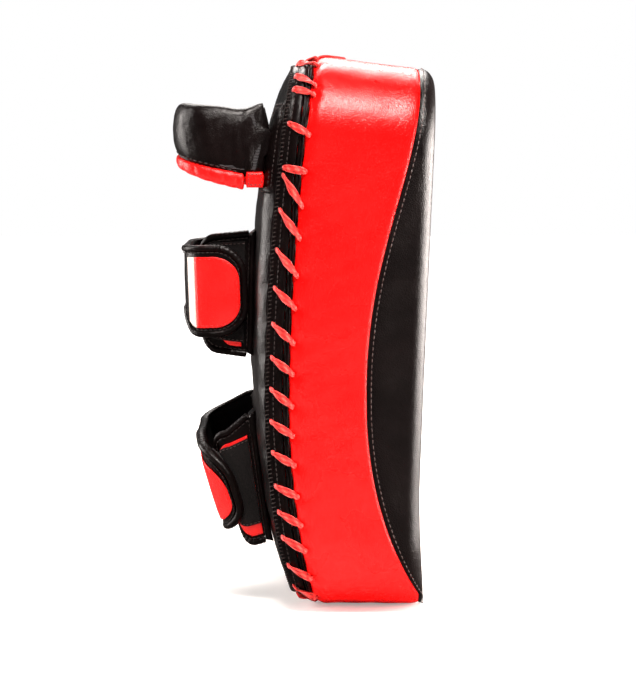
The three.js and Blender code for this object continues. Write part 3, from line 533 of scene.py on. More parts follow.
@dataclass(frozen=True)
class Cloth:
    """Cloth, pile, foam or thread: fibres of one size over a broad shade."""
    name: str
    slot: str
    colour: Colour
    deep: Colour
    fibre: float = 0.0006
    depth: float = 0.25
    roughness: float = 0.9
    sheen: float = 0.2
    weave: float = 0.0
    dust: float = 0.0
    specular: float = 0.2

    def build(self, effects: Effects) -> bpy.types.Material:
        """Makes the material."""
        g = Surface(self.name)
        hairs = g.group(effects.fibres, g.at, Size=self.fibre)
        specks = g.group(effects.dust, g.at, Size=0.04, Amount=self.dust)["Mask"]
        shade = hairs["Shade"]
        bumps = [(hairs["Height"], self.depth, 0.8)]
        if self.weave:
            split = g.add("SeparateXYZ", {0: g.at}).outputs
            woven = g.math("MULTIPLY", *(g.math("SINE", g.math("MULTIPLY", split[k], FULL_TURN / self.weave))
                                         for k in (1, 2)))
            shade = g.math("MULTIPLY_ADD", woven, 0.25, shade)
            bumps.insert(0, (woven, self.weave / MM / 5, 0.6))
        base = g.mix(specks, g.mix(shade, self.deep, self.colour), (0.55, 0.5, 0.46))
        return g.finish({"Specular IOR Level": self.specular, "Sheen Weight": self.sheen,
                         "Sheen Roughness": 0.6, "Base Color": base,
                         "Roughness": g.math("MULTIPLY_ADD", shade, -0.1, self.roughness)}, *bumps)


class Finish(Enum):
    """Every finish on the pad."""
    RED = Leather("red_wall_leather", "red_leather", (0.86, 0.0015, 0.0012), (0.8, 0.001, 0.001),
                  (0.88, 0.006, 0.004), roughness=0.27, specular=0.32, crease_depth=0.12, wear=0.06, dust=0.0)
    RED_TRIM = Leather("red_trim_leather", "red_leather", (0.84, 0.003, 0.003), (0.64, 0.002, 0.0015),
                       (0.9, 0.03, 0.02), roughness=0.34, specular=0.3, grain=0.0013, grain_depth=0.1,
                       crease_size=0.02, wear=0.15)
    STRIKE = Leather("black_strike_leather", "black_leather", (0.0035, 0.0012, 0.0012),
                     (0.002, 0.0008, 0.0008), (0.007, 0.0035, 0.003), roughness=0.31, specular=0.38,
                     grain_depth=0.12, crease_size=0.06)
    BLACK = Leather("black_strap_leather", "black_leather", (0.004, 0.0015, 0.0015), (0.0018, 0.0007, 0.0007),
                    (0.01, 0.005, 0.0045), roughness=0.3, specular=0.2, grain=0.0013, crease_size=0.03,
                    crease_depth=0.07)
    BACK = Leather("black_back_leather", "black_leather", (0.004, 0.0016, 0.0016), (0.002, 0.0009, 0.0009),
                   (0.01, 0.005, 0.0045), roughness=0.33, specular=0.22, grain_depth=0.1, crease_depth=0.09,
                   dust=0.02)
    # The lace's deep colour is painted shade between its strands, and its pale colour a painted highlight on
    # them
    LACE = Braid("red_lace_braid", "lace", (0.84, 0.012, 0.010), (0.25, 0.002, 0.002), (0.95, 0.2, 0.14))
    THREAD = Cloth("black_thread", "webbing", (0.035, 0.022, 0.02), (0.008, 0.004, 0.004), fibre=0.0003,
                   depth=0.1, roughness=0.6, sheen=0.1)
    PALE_THREAD = Cloth("pale_thread", "webbing", (0.07, 0.035, 0.03), (0.02, 0.008, 0.007), fibre=0.0003,
                        depth=0.1, roughness=0.4, sheen=0.05, specular=0.6)
    PILE = Cloth("loop_pile", "tape", (0.004, 0.002, 0.002), (0.001, 0.0005, 0.0005), fibre=0.0009, depth=0.6,
                 roughness=0.97, sheen=0.04, dust=0.02)
    HOOKS = Cloth("hook_tape", "tape", (0.012, 0.009, 0.009), (0.002, 0.001, 0.001), fibre=0.0005, depth=0.4,
                  roughness=0.7, sheen=0.1, weave=0.0016, dust=0.1)
    LABEL = Cloth("bare_woven_label", "label", (0.86, 0.74, 0.68), (0.66, 0.52, 0.47), fibre=0.0004,
                  depth=0.08, roughness=0.7, sheen=0.3, weave=0.0007)
    FOAM = Cloth("closed_foam", "foam", (0.42, 0.4, 0.35), (0.25, 0.23, 0.2), fibre=0.0012, depth=0.3)
    WEBBING = Cloth("core_webbing", "webbing", (0.02, 0.018, 0.02), (0.008, 0.007, 0.008), weave=0.002)


@dataclass(frozen=True)
class Hold:
    """What a piece moves with: one body, or two bodies and two places between them."""
    body: str
    other: str = ""
    start: Sequence[float] = ()
    end: Sequence[float] = ()


class Maker:
    """Finishes pieces: material, body and the solid that each stands for."""

    def __init__(self) -> None:
        """Builds the shared effects."""
        self.effects = Effects()
        self.made: dict[Finish, bpy.types.Material] = {}
        self.count = 0

    def dress(self, piece: Obj, finish: Finish) -> None:
        """Gives a piece one finish all over."""
        if finish not in self.made:
            self.made[finish] = finish.value.build(self.effects)
        piece.data.materials.clear()
        piece.data.materials.append(self.made[finish])

    def settle(self, piece: Obj, finish: Finish, hold: Hold, stands_for: str = "",
               fill: float | None = None) -> None:
        """Dresses a piece and ties it to its body; a piece held between two bodies only has its place baked
        in.

        Args:
            piece: the finished mesh.
            finish: its material.
            hold: what it moves with.
            stands_for: the CAD node that it replaces.
            fill: how full it is, where it is padded; not used.
        """
        self.dress(piece, finish)
        if stands_for:
            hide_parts(stands_for)
        if hold.other:
            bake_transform(piece)
        else:
            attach(piece, hold.body)
        self.count += 1
        LOG.info("%s: %s, %d faces", piece.name, finish.value.name, len(piece.data.polygons))


# The block


@dataclass
class Rim:
    """Points of the block's rim, each with its outward way in y and z."""
    y: Array
    z: Array
    ny: Array
    nz: Array

    def __post_init__(self) -> None:
        """Keeps the outward ways as rows of x, y and z too."""
        self.out = np.stack([np.zeros_like(self.ny), self.ny, self.nz], axis=-1)


@dataclass
class Block:
    """The foam block in its laced covers, sizes in mm."""
    height: float = 400.0
    width: float = 200.0
    corner: float = 58.0
    top_drop: float = 10.0
    leather: float = 2.4
    lace_end: float = 7.5
    lace_waist: float = -11.6
    lace_waist_share: float = 0.37
    lace_bend: float = 1.8
    seam_end: float = 82.0
    seam_foot: float = 90.0
    seam_room: float = 3.0
    seam_waist: float = 43.4
    seam_waist_share: float = 0.4
    seam_rise: float = 1.15
    seam_fall: float = 2.2
    strike_top: float = 93.3
    strike_waist: float = 81.7
    strike_foot: float = 86.5
    strike_waist_share: float = 0.23
    strike_rise: float = 1.1
    strike_fall: float = 2.0
    back_end: float = -3.0
    back_crown: float = -39.0
    back_side_rise: float = 6.0
    edge_radius: float = 10.0
    tuck: float = 4.2
    tuck_reach: float = 10.5
    band_slope: float = 0.3
    stitches: int = 45
    start_share: float = 0.2
    drop_share: float = 0.55
    hand_from: int = 4
    hand_to: int = 20
    hand_starts: tuple[float, ...] = (3.8, 4.97, 6.29, 6.51, 7.53, 8.7, 9.82, 10.88, 11.87, 12.81, 13.76,
                                      14.68, 15.68, 16.45, 17.21, 18.18, 19.23)
    hand_drops: tuple[float, ...] = (0.27, 0.31, 0.06, 0.88, 0.8, 0.73, 0.57, 0.54, 0.46, 0.48, 0.4, 0.36,
                                     0.29, 0.38, 0.38, 0.34, 0.38)
    lace_wide: float = 5.5
    lace_thick: float = 1.9
    wall_hole: float = 3.1
    wall_hole_radius: float = 1.75
    band_hole: float = 12.8
    band_hole_radius: float = 1.9
    seam_line: tuple[float, float] = (3.1, 0.25)
    band_line: tuple[float, float] = (10.85, -0.12)
    edge_lines: tuple[tuple[float, float], ...] = ((13.9, -0.1), (17.1, 0.15))
    back_start: float = 16.5
    back_margin: float = 28.0
    body: str = "block"

    def __post_init__(self) -> None:
        """Lays out the rim, from the middle of the top down the near side."""
        side, end = self.height - 2 * self.corner, self.width - 2 * self.corner
        turn = (self.corner - self.tuck) * math.pi / 2
        steps = [end / 2, turn, side, turn, end, turn, side, turn, end / 2]
        self.marks = np.concatenate([[0], np.cumsum(steps)])
        self.total = float(self.marks[-1])
        y, low, high = end / 2, self.corner, self.height - self.corner
        self.mid_y = np.array([0, -y, -y, -y, -y, y, y, y, y, 0])
        self.mid_z = np.array([high, high, high, low, low, low, low, high, high, high])
        self.turns = np.array([0, 0, 1, 1, 2, 2, 3, 3, 4, 4]) * math.pi / 2
        self.pitch = self.total / self.stitches
        # The lace is pulled unevenly down the near side, where its holes are set one by one, in pitches
        even = np.arange(self.stitches) + self.start_share
        before, after = even[:self.hand_from], even[self.hand_to:]
        starts = np.concatenate([before, self.hand_starts, after])
        drops = np.concatenate([np.full(len(before), self.drop_share), self.hand_drops,
                                np.full(len(after), self.drop_share)])
        self.band_holes = starts * self.pitch
        self.wall_holes = (starts + drops) * self.pitch
        # How the back cover rises from the laced band to its own face, by its depth inside the rim
        first = self.tuck + self.band_slope * self.back_start
        self.back_insets = np.array([first, 12.5, 18, self.back_margin])
        self.back_eases = np.array([0, 0.45, 0.85, 1])

    def rim(self, length: Array) -> Rim:
        """The rim at lengths in mm from the middle of the top."""
        at = np.where(np.isclose(length, self.total), self.total, np.mod(length, self.total))
        turn = np.interp(at, self.marks, self.turns)
        ny, nz = -np.sin(turn), np.cos(turn)
        return Rim(np.interp(at, self.marks, self.mid_y) + self.corner * ny,
                   np.interp(at, self.marks, self.mid_z) + self.corner * nz, ny, nz)

    def _from_waist(self, z: Array, waist_share: float) -> tuple[Array, Array]:
        """Whether each height is below the waist, and how far from it, 0 to 1."""
        waist = self.height * waist_share
        share = np.where(z < waist, (waist - z) / waist, (z - waist) / (self.height - waist))
        return z < waist, np.clip(share, 0, 1)

    def lace_x(self, z: Array) -> Array:
        """The wall's laced edge."""
        _, share = self._from_waist(z, self.lace_waist_share)
        return lerp(self.lace_waist, self.lace_end, share ** self.lace_bend)

    def seam_x(self, z: Array) -> Array:
        """The curved seam between wall and strike cover."""
        below, share = self._from_waist(z, self.seam_waist_share)
        swing = (1 - np.cos(math.pi * share ** self.seam_rise)) / 2
        end = np.where(below, self.seam_foot, self.seam_end)
        seam = lerp(self.seam_waist, end, np.where(below, share ** self.seam_fall, swing))
        return np.minimum(seam, self.strike_x(z) - self.seam_room)

    def strike_x(self, z: Array) -> Array:
        """The strike face."""
        below, share = self._from_waist(z, self.strike_waist_share)
        end = np.where(below, self.strike_foot, self.strike_top)
        return lerp(self.strike_waist, end, share ** np.where(below, self.strike_fall, self.strike_rise))

    def back_x(self, y: Array, z: Array) -> Array:
        """The convex back."""
        off = np.clip(np.abs(2 * z / self.height - 1), 0, 1)
        crown = (1 - off ** 2.2) ** 0.67
        return lerp(self.back_end, self.back_crown, crown) + self.back_side_rise * (2 * y / self.width) ** 2

    def sloped(self, x: Array, z: Array) -> Array:
        """How heights shrink towards the strike face, since the top slopes down."""
        slope = self.top_drop / (self.strike_top - self.lace_end) / self.height
        return 1 - slope * (x - self.lace_end)

    def place(self, x: Array, y: Array, z: Array) -> Array:
        """Real places, with the top's slope."""
        return np.stack([x, y, z * self.sloped(x, z)], axis=-1)

    def edge_x(self, y: Array, z: Array) -> Array:
        """The back cover's outer face near its edge, at a height before the top's slope."""
        over_y = np.abs(y) - self.width / 2 + self.corner
        over_z = np.maximum(np.abs(z - self.height / 2) - self.height / 2 + self.corner, 0)
        inset = self.corner - np.where(over_y > 0, np.hypot(over_y, over_z), over_z)
        ease = np.interp(inset, self.back_insets, self.back_eases)
        return lerp(self.lace_x(z) - self.back_start, self.back_x(y, z), ease)

    def back_at(self, y: Array, real_z: Array) -> Array:
        """The back cover's outer face at a real height, for what is sewn on it."""
        x = np.full(np.shape(real_z), self.back_crown)
        for _ in range(6):
            x = self.edge_x(y, real_z / self.sloped(x, real_z))
        return x

    def inset_at(self, behind: Array) -> Array:
        """Depth of the drawn-in leather at a distance behind the wall's edge."""
        ahead = self.tuck * (1 - np.sin(np.clip(-behind / self.tuck_reach, 0, 1) * math.pi / 2))
        return np.where(behind > 0, self.tuck + self.band_slope * behind, ahead)

    def on(self, length: Array, behind: Any, depth: Any) -> Array:
        """A place on the laced zone by its length round the rim, and mm behind the wall's edge."""
        rim = self.rim(length)
        inset = self.inset_at(behind + 0 * length) + depth
        return self.place(self.lace_x(rim.z) - behind, rim.y - rim.ny * inset, rim.z - rim.nz * inset)

    def pulls(self, length: Array, holes: Array, reach: float) -> Array:
        """How near a length is to a lace hole, 1 at the hole."""
        half = self.total / 2
        return bell(np.abs(np.mod(length[..., None] - holes + half, self.total) - half).min(axis=-1), reach)

    def row(self, rim: Rim, inset: Array, spine: Array) -> tuple[Array, Array]:
        """y and z at a depth below the rim, drawn by a share towards the upright middle line."""
        half = self.width / 2
        return ((rim.y - rim.ny * inset) * (1 - spine),
                lerp(rim.z - rim.nz * inset, np.clip(rim.z, half, self.height - half), spine))

    def wall(self) -> Obj:
        """Red side wall: puffed between the lace holes, with a folded edge at the seam."""
        near = [0.0, 0.25, 0.9, 1.8, 3.0, 4.2, 5.6, 7.2, 9.2, 11.5]
        ends = [9.0, 6.0, 4.0, 2.6, 1.4, 0.6, 0.12, 0.0]
        middle, thick = 10, 2.2
        # Rows of mm from the laced edge, mm from the seam, share between the two, and depth
        table = np.array([(n, 0, 0, 0) for n in near]
                         + [(near[-1], ends[0], (k + 1) / (middle + 1), 0) for k in range(middle)]
                         + [(0, e, 1, 0) for e in ends]
                         + [(0, 0, 1, thick), (0, 9, 1, thick), (9, 0, 0, thick), (0, 0, 0, thick)]
                         + [(0, 0, 0, 0)])

        def lay(u: Array, k: Array) -> Array:
            """Places of the wall."""
            length = u * self.total
            rim = self.rim(length)
            near_mm, end_mm, share, depth = table[k].T
            start, stop = self.lace_x(rim.z) + 0.15, self.seam_x(rim.z) - 0.15
            x = lerp(start + near_mm, stop - end_mm, share)
            before, left = x - start, stop - x
            outer = depth == 0
            inset = self.inset_at(-before) + 0.9 * bell(left, 1.1, 1.5) + 0.25 * bell(left, 4)
            hole = self.pulls(length, self.wall_holes, 3.0)
            drawn = self.pulls(length, self.wall_holes, 5.5)
            inset += outer * (0.9 * np.exp(-before / 0.35) + 1.3 * hole * bell(before - self.wall_hole, 2.8)
                              - (0.55 - drawn) * bell(before - 5, 4.5))
            x = x + np.where(share < 1, 0.7 - 1.3 * drawn, 0) * np.exp(-before / 4.0) * 0.8
            places = self.place(x, *self.row(rim, inset + depth, 0))
            swell = 0.45 * waver(places, 70, 3) + 0.16 * waver(places, 19, 4)
            return places + rim.out * (swell * smooth(4, 14, before) * smooth(2, 8, left) * outer)[:, None]

        return rows_grid("side_wall_cover", 720, lay, len(table))

    def laced_strip(self, name: str, rows: Sequence[tuple[float, float]], under: float, pinch: float) -> Obj:
        """A closed strip round the laced zone from rows of (behind, depth)."""
        table = np.array([*rows, (rows[-1][0], under), (rows[0][0], under), rows[0]])

        def lay(u: Array, k: Array) -> Array:
            """Places of the strip."""
            length = u * self.total
            behind, depth = table[k].T
            pulled = self.pulls(length - behind * 0.62 * self.pitch / 16,
                                self.band_holes + 0.3 * self.pitch, 2.6)
            shown = depth < under
            places = self.on(length, behind, depth + np.where(shown, pinch * pulled, 0))
            return places + (np.where(shown, 0.14 * waver(places, 9, 8), 0) * 0.4)[:, None]

        return rows_grid(name, 600, lay, len(table))

    def punched(self, piece: Obj, behind: float, holes: Array, radius: float) -> Obj:
        """Cuts a round hole at each place of a laced strip."""
        drills = []
        for length in holes:
            at = np.array([length])
            pick_only()
            bpy.ops.mesh.primitive_cylinder_add(
                vertices=14, radius=radius * MM, depth=9 * MM,
                location=self.on(at, behind, self.leather / 2)[0] * MM,
                rotation=Vector(self.rim(at).out[0]).to_track_quat("Z", "Y").to_euler())
            drills.append(bpy.context.active_object)
        drill = join(drills, "lace_hole_drill")
        pick_only(piece)
        cut = piece.modifiers.new("holes", "BOOLEAN")
        cut.object, cut.operation, cut.solver = drill, "DIFFERENCE", "MANIFOLD"
        bpy.ops.object.modifier_apply(modifier="holes")
        bpy.data.objects.remove(drill)
        bpy.ops.object.shade_smooth_by_angle(angle=math.radians(50))
        return piece

    def strike(self) -> Obj:
        """Black strike cover: puffed beside the seam, rounded over the edge, with a soft crown."""
        rows = [("face", s, self.leather) for s in (1.0, 0.75, 0.5, 0.25, 0.0)]
        rows += [("inner", 0, 0), ("fold", 0, 1)]
        rows += [("seam", d, 0) for d in (0.0, 0.4, 1.0, 1.8, 3.0, 4.6, 6.5)]
        rows += [("mid", s, 0) for s in (0.25, 0.5, 0.8)]
        rows += [("arc", a, 0) for a in np.radians(np.linspace(0, 90, 11))]
        rows += [("face", s, 0) for s in (0.03, 0.08, 0.15, 0.25, 0.36, 0.48, 0.6, 0.72, 0.84, 0.93, 1.0)]
        kinds, values, depths = (np.array(column) for column in zip(*rows))

        def lay(u: Array, k: Array) -> Array:
            """Places of the strike cover."""
            rim = self.rim(u * self.total)
            kind, value, depth = kinds[k], values[k], depths[k]
            seam, strike = self.seam_x(rim.z) + 0.15, self.strike_x(rim.z)
            radius = np.minimum(self.edge_radius, 0.9 * (strike - seam))
            turn = strike - radius
            room = np.maximum(turn - seam, 0.1)
            run = np.where(kind == "seam", np.minimum(value, room * value / 6.6),
                           lerp(np.minimum(6.5, room * 0.98), room, value))
            face, side = kind == "face", (kind == "seam") | (kind == "mid")
            cases = [kind == "inner", kind == "fold", side, kind == "arc"]
            x = np.select(cases, [turn, seam, seam + run, strike - radius * (1 - np.sin(value))], 0.0)
            off = x - seam
            puff = 1.0 * np.exp(-off / 1.6) - 0.45 * bell(off - 7, 6)
            edge = radius * (1 - np.cos(value)) + puff * (1 - value / 1.6)
            inset = np.select(cases, [self.leather, 3.4, puff, edge], radius)
            y, z = self.row(rim, inset, np.where(face, value, 0))
            x = np.where(face, self.strike_x(z) - depth + 1.6 * smooth(0, 1, value) * (depth == 0), x)
            places = self.place(x, y, z)
            swell = 0.35 * waver(places, 60, 11) + 0.12 * waver(places, 17, 12)
            places[:, 0] += np.where(face & (depth == 0), swell * smooth(0, 0.2, value), 0)
            return places + rim.out * np.where(side, swell * smooth(3, 9, off) * 0.7, 0)[:, None]

        return rows_grid("strike_cover", 400, lay, len(rows))

    def back(self) -> Obj:
        """Black convex back cover."""
        first, margin, thick = self.back_insets[0], self.back_margin, self.leather
        depths = first + (margin - first) * np.linspace(0, 1, 13) ** 1.15
        eases = np.interp(depths, self.back_insets, self.back_eases)
        eases = np.convolve(np.pad(eases, 1, mode="edge"), [0.25, 0.5, 0.25], mode="valid")
        eases[0] = 0
        shares = (0.04, 0.1, 0.18, 0.28, 0.4, 0.52, 0.64, 0.76, 0.88, 1.0)
        # Rows of depth inside the rim, rise to the face, share to the middle line, and lift off the face
        table = np.array([(margin, 1, s, thick) for s in (1.0, 0.66, 0.33, 0.0)]
                         + [(18, 0.85, 0, thick), (first + 2.4, 0, 0, 0), (first + 1.0, -0.02, 0, 0)]
                         + [(d, e, 0, 0) for d, e in zip(depths, eases)]
                         + [(margin, 1, s, 0) for s in shares])

        def lay(u: Array, k: Array) -> Array:
            """Places of the back cover."""
            length = u * self.total
            rim = self.rim(length)
            inset, ease, spine, lift = table[k].T
            y, z = self.row(rim, inset, spine)
            x = lerp(self.lace_x(rim.z) - self.back_start, self.back_x(y, z), ease) + lift
            places = self.place(x, y, z)
            swell = 0.5 * waver(places, 45, 21) + 0.18 * waver(places, 14, 22)
            lip = bell(inset - first - 3, 3) * (spine == 0)
            pulled = 0.9 * self.pulls(length, self.band_holes, 5.0) - 0.3
            places[:, 0] += np.where(lift == 0, -swell * smooth(0.3, 1, ease) + pulled * lip, 0)
            return places

        return rows_grid("back_cover", 450, lay, len(table))

    def lace_path(self) -> tuple[Array, Array, Array]:
        """The lace's middle line over the joint and back under it, the line it turns about, and its width."""
        over, under, flat = -1.5, self.leather + 1.5, self.leather / 2
        first, bow = 2.4, 0.4
        band, wall, back, ahead = self.band_holes, self.wall_holes, self.band_hole, -self.wall_hole
        # Stops of length round the rim, mm behind the edge, depth and share of the width, from the tail on
        stops = [(first + 5.5, -25.0, over + 0.2, 0.9), (first + 3.2, -17.0, over - 0.3, 1.0),
                 (first + 0.6, -8.0, over - 0.5, 1.0), (first, 0.0, over, 1.0)]

        def leg(a: float, b: float, behind_a: float, behind_b: float, depth: float) -> None:
            """Adds one straight leg, bowed where it lies outside, and the hole that it ends in."""
            for share, wide in ((0.07, 0.72), (0.2, 0.95), (0.5, 1.05), (0.8, 1.0), (0.93, 0.75)):
                raised = bow * math.sin(share * math.pi) if depth < 0 else 0
                stops.append((lerp(a, b, share), lerp(behind_a, behind_b, share), depth - raised, wide))
            stops.append((b, behind_b, flat, 0.6))

        leg(band[0] + 1.6, wall[0], back / 2, ahead, over)
        for k in range(1, len(band)):
            leg(wall[k - 1], band[k], ahead, back, under)
            leg(band[k], wall[k], back, ahead, over)
        end = min(self.total - 3.2, wall[-1] + 1.6)
        stops += [(end, ahead + 1.6, under, 0.9), (end, back / 2, under, 0.9)]
        length, behind, depth, wide = np.array(stops).T
        path = curve_through(self.on(length, behind, depth), 4)
        axis = curve_through(self.on(length, np.full(len(length), (back + ahead) / 2), flat), 4)
        return path, axis, np.interp(np.arange(len(path)) / 4, np.arange(len(wide)), wide)

    def lace(self) -> Obj:
        """Flat red lace, whipped round the whole rim."""
        path, axis, wide = self.lace_path()
        along = unit(np.gradient(path, axis=0))
        face = square_to(path - axis, along)
        ends = round_ends(path, 1.4)
        LOG.info("the lace runs %.0f mm", length_at(path)[-1])
        return sweep("lace_braid", path, np.cross(along, face), face,
                     (self.lace_wide, self.lace_thick, 2.6), 12, (ends * wide, ends))

    def build(self, maker: Maker) -> None:
        """Makes and ties every piece of the block."""
        hold = Hold(self.body)
        maker.settle(self.punched(self.wall(), -self.wall_hole, self.wall_holes, self.wall_hole_radius),
                     Finish.RED, hold, "side_wall")
        maker.settle(self.strike(), Finish.STRIKE, hold, "strike_panel", fill=0.9)
        welt = self.laced_strip("lacing_welt_cover", [
            (0.2, 1.2), (0.35, 0.2), (0.8, -0.7), (1.35, -0.95), (1.9, -0.5), (2.2, 0.25), (2.5, -0.4),
            (3.05, -0.9), (3.6, -0.65), (4.05, 0.2), (4.2, 1.2)], 2.2, 0.55)
        maker.settle(welt, Finish.BLACK, hold, "lacing_welt")
        band = self.laced_strip("lacing_band_cover", [
            (4.5, 1.2), (4.65, 0.3), (5.2, -0.35), (6.4, -0.75), (8.0, -0.7), (9.6, -0.3), (10.5, 0.15),
            (11.2, 0.2), (12.0, -0.05), (12.8, -0.1), (13.8, -0.05), (15.0, 0.0), (15.9, 0.3), (16.2, 1.0)],
            2.4, 0.35)
        maker.settle(self.punched(band, self.band_hole, self.band_holes, self.band_hole_radius),
                     Finish.BLACK, hold, "lacing_band")
        maker.settle(self.back(), Finish.BACK, hold, "back_panel", fill=0.8)
        maker.settle(self.lace(), Finish.LACE, hold, "lace")
        length = np.linspace(0, self.total, 900)
        rim = self.rim(length)
        ahead, lift = self.seam_line
        seam = self.place(self.seam_x(rim.z) + ahead, rim.y + rim.ny * lift, rim.z + rim.nz * lift)
        maker.settle(STRIKE_THREAD.sew("strike_topstitch", seam, rim.out), Finish.PALE_THREAD, hold)
        maker.settle(BAND_THREAD.sew("band_topstitch", self.on(length, *self.band_line), rim.out),
                     Finish.THREAD, hold)
        # Overcast stitches bind the band's rear edge
        count = int(self.total / EDGE_THREAD.pitch)
        at = (np.arange(count) + 0.5) * self.total / count
        near, far = (self.on(at + slant, *line) for slant, line in zip((0, 1.1), self.edge_lines))
        maker.settle(copies("band_edge_stitches", EDGE_THREAD.stitch(), (near + far) / 2, far - near,
                            self.rim(at).out), Finish.THREAD, hold)


BLOCK = Block()


# Belts


class Belt:
    """A flat piece bent along a plan in x and y: s runs along it, w is height and t is outwards."""

    def __init__(self, plan: Sequence[tuple], turn: float = 0.0, origin: Sequence[float] = (0, 0, 0)) -> None:
        """Lays out the plan.

        Args:
            plan: lines as ("line", from, to) and arcs as ("arc", middle, radius, from, to).
            turn: the frame's turn about y, in radians.
            origin: the frame's place in mm.
        """
        s, x, y, way = [0.0], [], [], []
        for kind, *rest in plan:
            if kind == "line":
                a, b = np.array(rest[0], float), np.array(rest[1], float)
                length, share = float(np.linalg.norm(b - a)), np.linspace(0, 1, 24)
                xs, ys = lerp(a[0], b[0], share), lerp(a[1], b[1], share)
                ways = np.full(24, math.atan2(b[1] - a[1], b[0] - a[0]))
            else:
                (mx, my), radius, start, stop = rest
                length, angle = radius * abs(stop - start), np.linspace(start, stop, 160)
                xs, ys, ways = mx + radius * np.cos(angle), my + radius * np.sin(angle), angle - math.pi / 2
            if way:
                ways = ways + FULL_TURN * np.rint((way[-1][-1] - ways[0]) / FULL_TURN)
            for values, more in ((s, s[-1] + length), (x, xs), (y, ys), (way, ways)):
                values.append(more)
        self.s = np.concatenate([np.linspace(s[i], s[i + 1], len(x[i])) for i in range(len(x))])
        self.x, self.y, self.way = np.concatenate(x), np.concatenate(y), np.concatenate(way)
        self.ends, self.length = s[1:], s[-1]
        self.turn, self.origin = turn, np.array(origin, float)
        self.warp: Callable[[Array, Array, Array], Array] | None = None

    def out(self, places: Array) -> Array:
        """Turns places or ways of the belt's frame into the pad's, without its origin."""
        c, s = math.cos(self.turn), math.sin(self.turn)
        return np.stack([places[..., 0] * c + places[..., 2] * s, places[..., 1],
                         -places[..., 0] * s + places[..., 2] * c], axis=-1)

    def real(self, x: Any, y: Any, w: Any) -> Array:
        """Places of the belt's frame in the pad's."""
        return self.out(np.stack([x, y, w], axis=-1)) + self.origin

    def at(self, s: Any, w: Any, t: Any) -> Array:
        """Places on the belt in mm, in the pad's frame."""
        s, w, t = np.broadcast_arrays(np.asarray(s, float), np.asarray(w, float), np.asarray(t, float))
        if self.warp:
            s = self.warp(s, w, t)
        inside = np.clip(s, 0, self.length)
        way, over = np.interp(inside, self.s, self.way), s - inside
        return self.real(np.interp(inside, self.s, self.x) + np.cos(way) * over - np.sin(way) * t,
                         np.interp(inside, self.s, self.y) + np.sin(way) * over + np.cos(way) * t, w)

    def outward(self, s: Array) -> Array:
        """The way out of the belt at s."""
        way = np.interp(np.clip(s, 0, self.length), self.s, self.way)
        return self.out(np.stack([-np.sin(way), np.cos(way), np.zeros_like(way)], axis=-1))


@dataclass
class Outline:
    """A tab's two edges at matching stations, with a way out of the sheet at each."""
    s: Array
    low: Array
    high: Array
    sin: tuple[Array, Array]
    left: Array
    sign: float = 1.0

    def edge(self, out: float) -> tuple[Array, Array]:
        """The U-shaped edge line, moved out of the sheet by some mm, as s and w."""
        sides = []
        for w, way, sin in ((self.low, -1, self.sin[0]), (self.high, 1, self.sin[1])):
            cos = np.sqrt(np.maximum(1 - sin ** 2, 0))
            sides.append((self.s - self.sign * sin * out, w + way * cos * out))
        (s0, w0), (s1, w1) = sides
        return np.concatenate([s0, s1[::-1]]), np.concatenate([w0, w1[::-1]])


def plain(s: Array, low: Array, high: Array, left: Array, sign: float) -> Outline:
    """An outline without rounded corners."""
    return Outline(s, low, high, (0 * s, 0 * s), left, sign)


def outline(root: float, tip: float, low: float, high: float, corners: Sequence[float]) -> Outline:
    """Lays out a tab that starts at s = root and ends rounded at s = tip."""
    length, sign = abs(root - tip), math.copysign(1, root - tip)
    big, small = max(corners), min(corners)
    arc = 1 - np.sin(np.radians(np.linspace(0, 90, 15)))
    reach = np.unique(np.round(np.concatenate([np.linspace(length, 0, 26), small * arc,
                                               big * arc * (big <= length)]), 3))
    reach = reach[np.concatenate([[True], np.diff(reach) > 0.12])][::-1]
    edges, sins = [], []
    for w, way, corner in ((low, 1, corners[0]), (high, -1, corners[1])):
        sins.append(1 - np.minimum(reach / corner, 1))
        edges.append(w + way * corner * (1 - np.sqrt(np.maximum(1 - sins[-1] ** 2, 0))))
    return Outline(tip + sign * reach, *edges, tuple(sins), reach, sign)


@dataclass(frozen=True)
class Sheet:
    """A padded sheet of a strap: its depths from a face, and how its edges are rounded.

    Attributes:
        name: what its piece is called.
        inner: depth of its inner face in mm.
        outer: depth of its outer face.
        around: faces round its section.
        edge: how square its long edges are, from 2, round.
        nose: how far its thickness takes to grow from the tip.
    """
    name: str
    inner: float
    outer: float
    around: int
    edge: float
    nose: float

    def lay(self, name: str, belt: Belt, shape: Outline, face: float, puff: Puff | None = None) -> Obj:
        """The closed sheet on a belt.

        Args:
            name: the piece's name.
            belt: what it lies on.
            shape: its outline.
            face: the depth that its own depths count from.
            puff: extra swell in mm for s, w and the place across, 0 to 1.

        Returns:
            The sheet.
        """
        s, low, high = (np.concatenate([[a[0]], a]) for a in (shape.s, shape.low, shape.high))
        thick = np.concatenate([[0], rounded(shape.left / self.nose)])
        inner, outer = face + self.inner, face + self.outer
        middle, half = (inner + outer) / 2, (outer - inner) / 2

        def rows(u: Array, k: Array) -> Array:
            """Places round the sheet."""
            back = u > 0.5
            share = (1 - np.cos(2 * math.pi * u)) / 2
            side = (1 - np.abs(2 * share - 1) ** self.edge) ** (1 / self.edge) * thick[k]
            w = lerp(low[k], high[k], share)
            more = puff(s[k], w, share) * side if puff else 0.0
            return belt.at(s[k], w, middle + np.where(back, -1, 1) * half * side + np.where(back, 0, more))

        return rows_grid(name, self.around, rows, len(s))


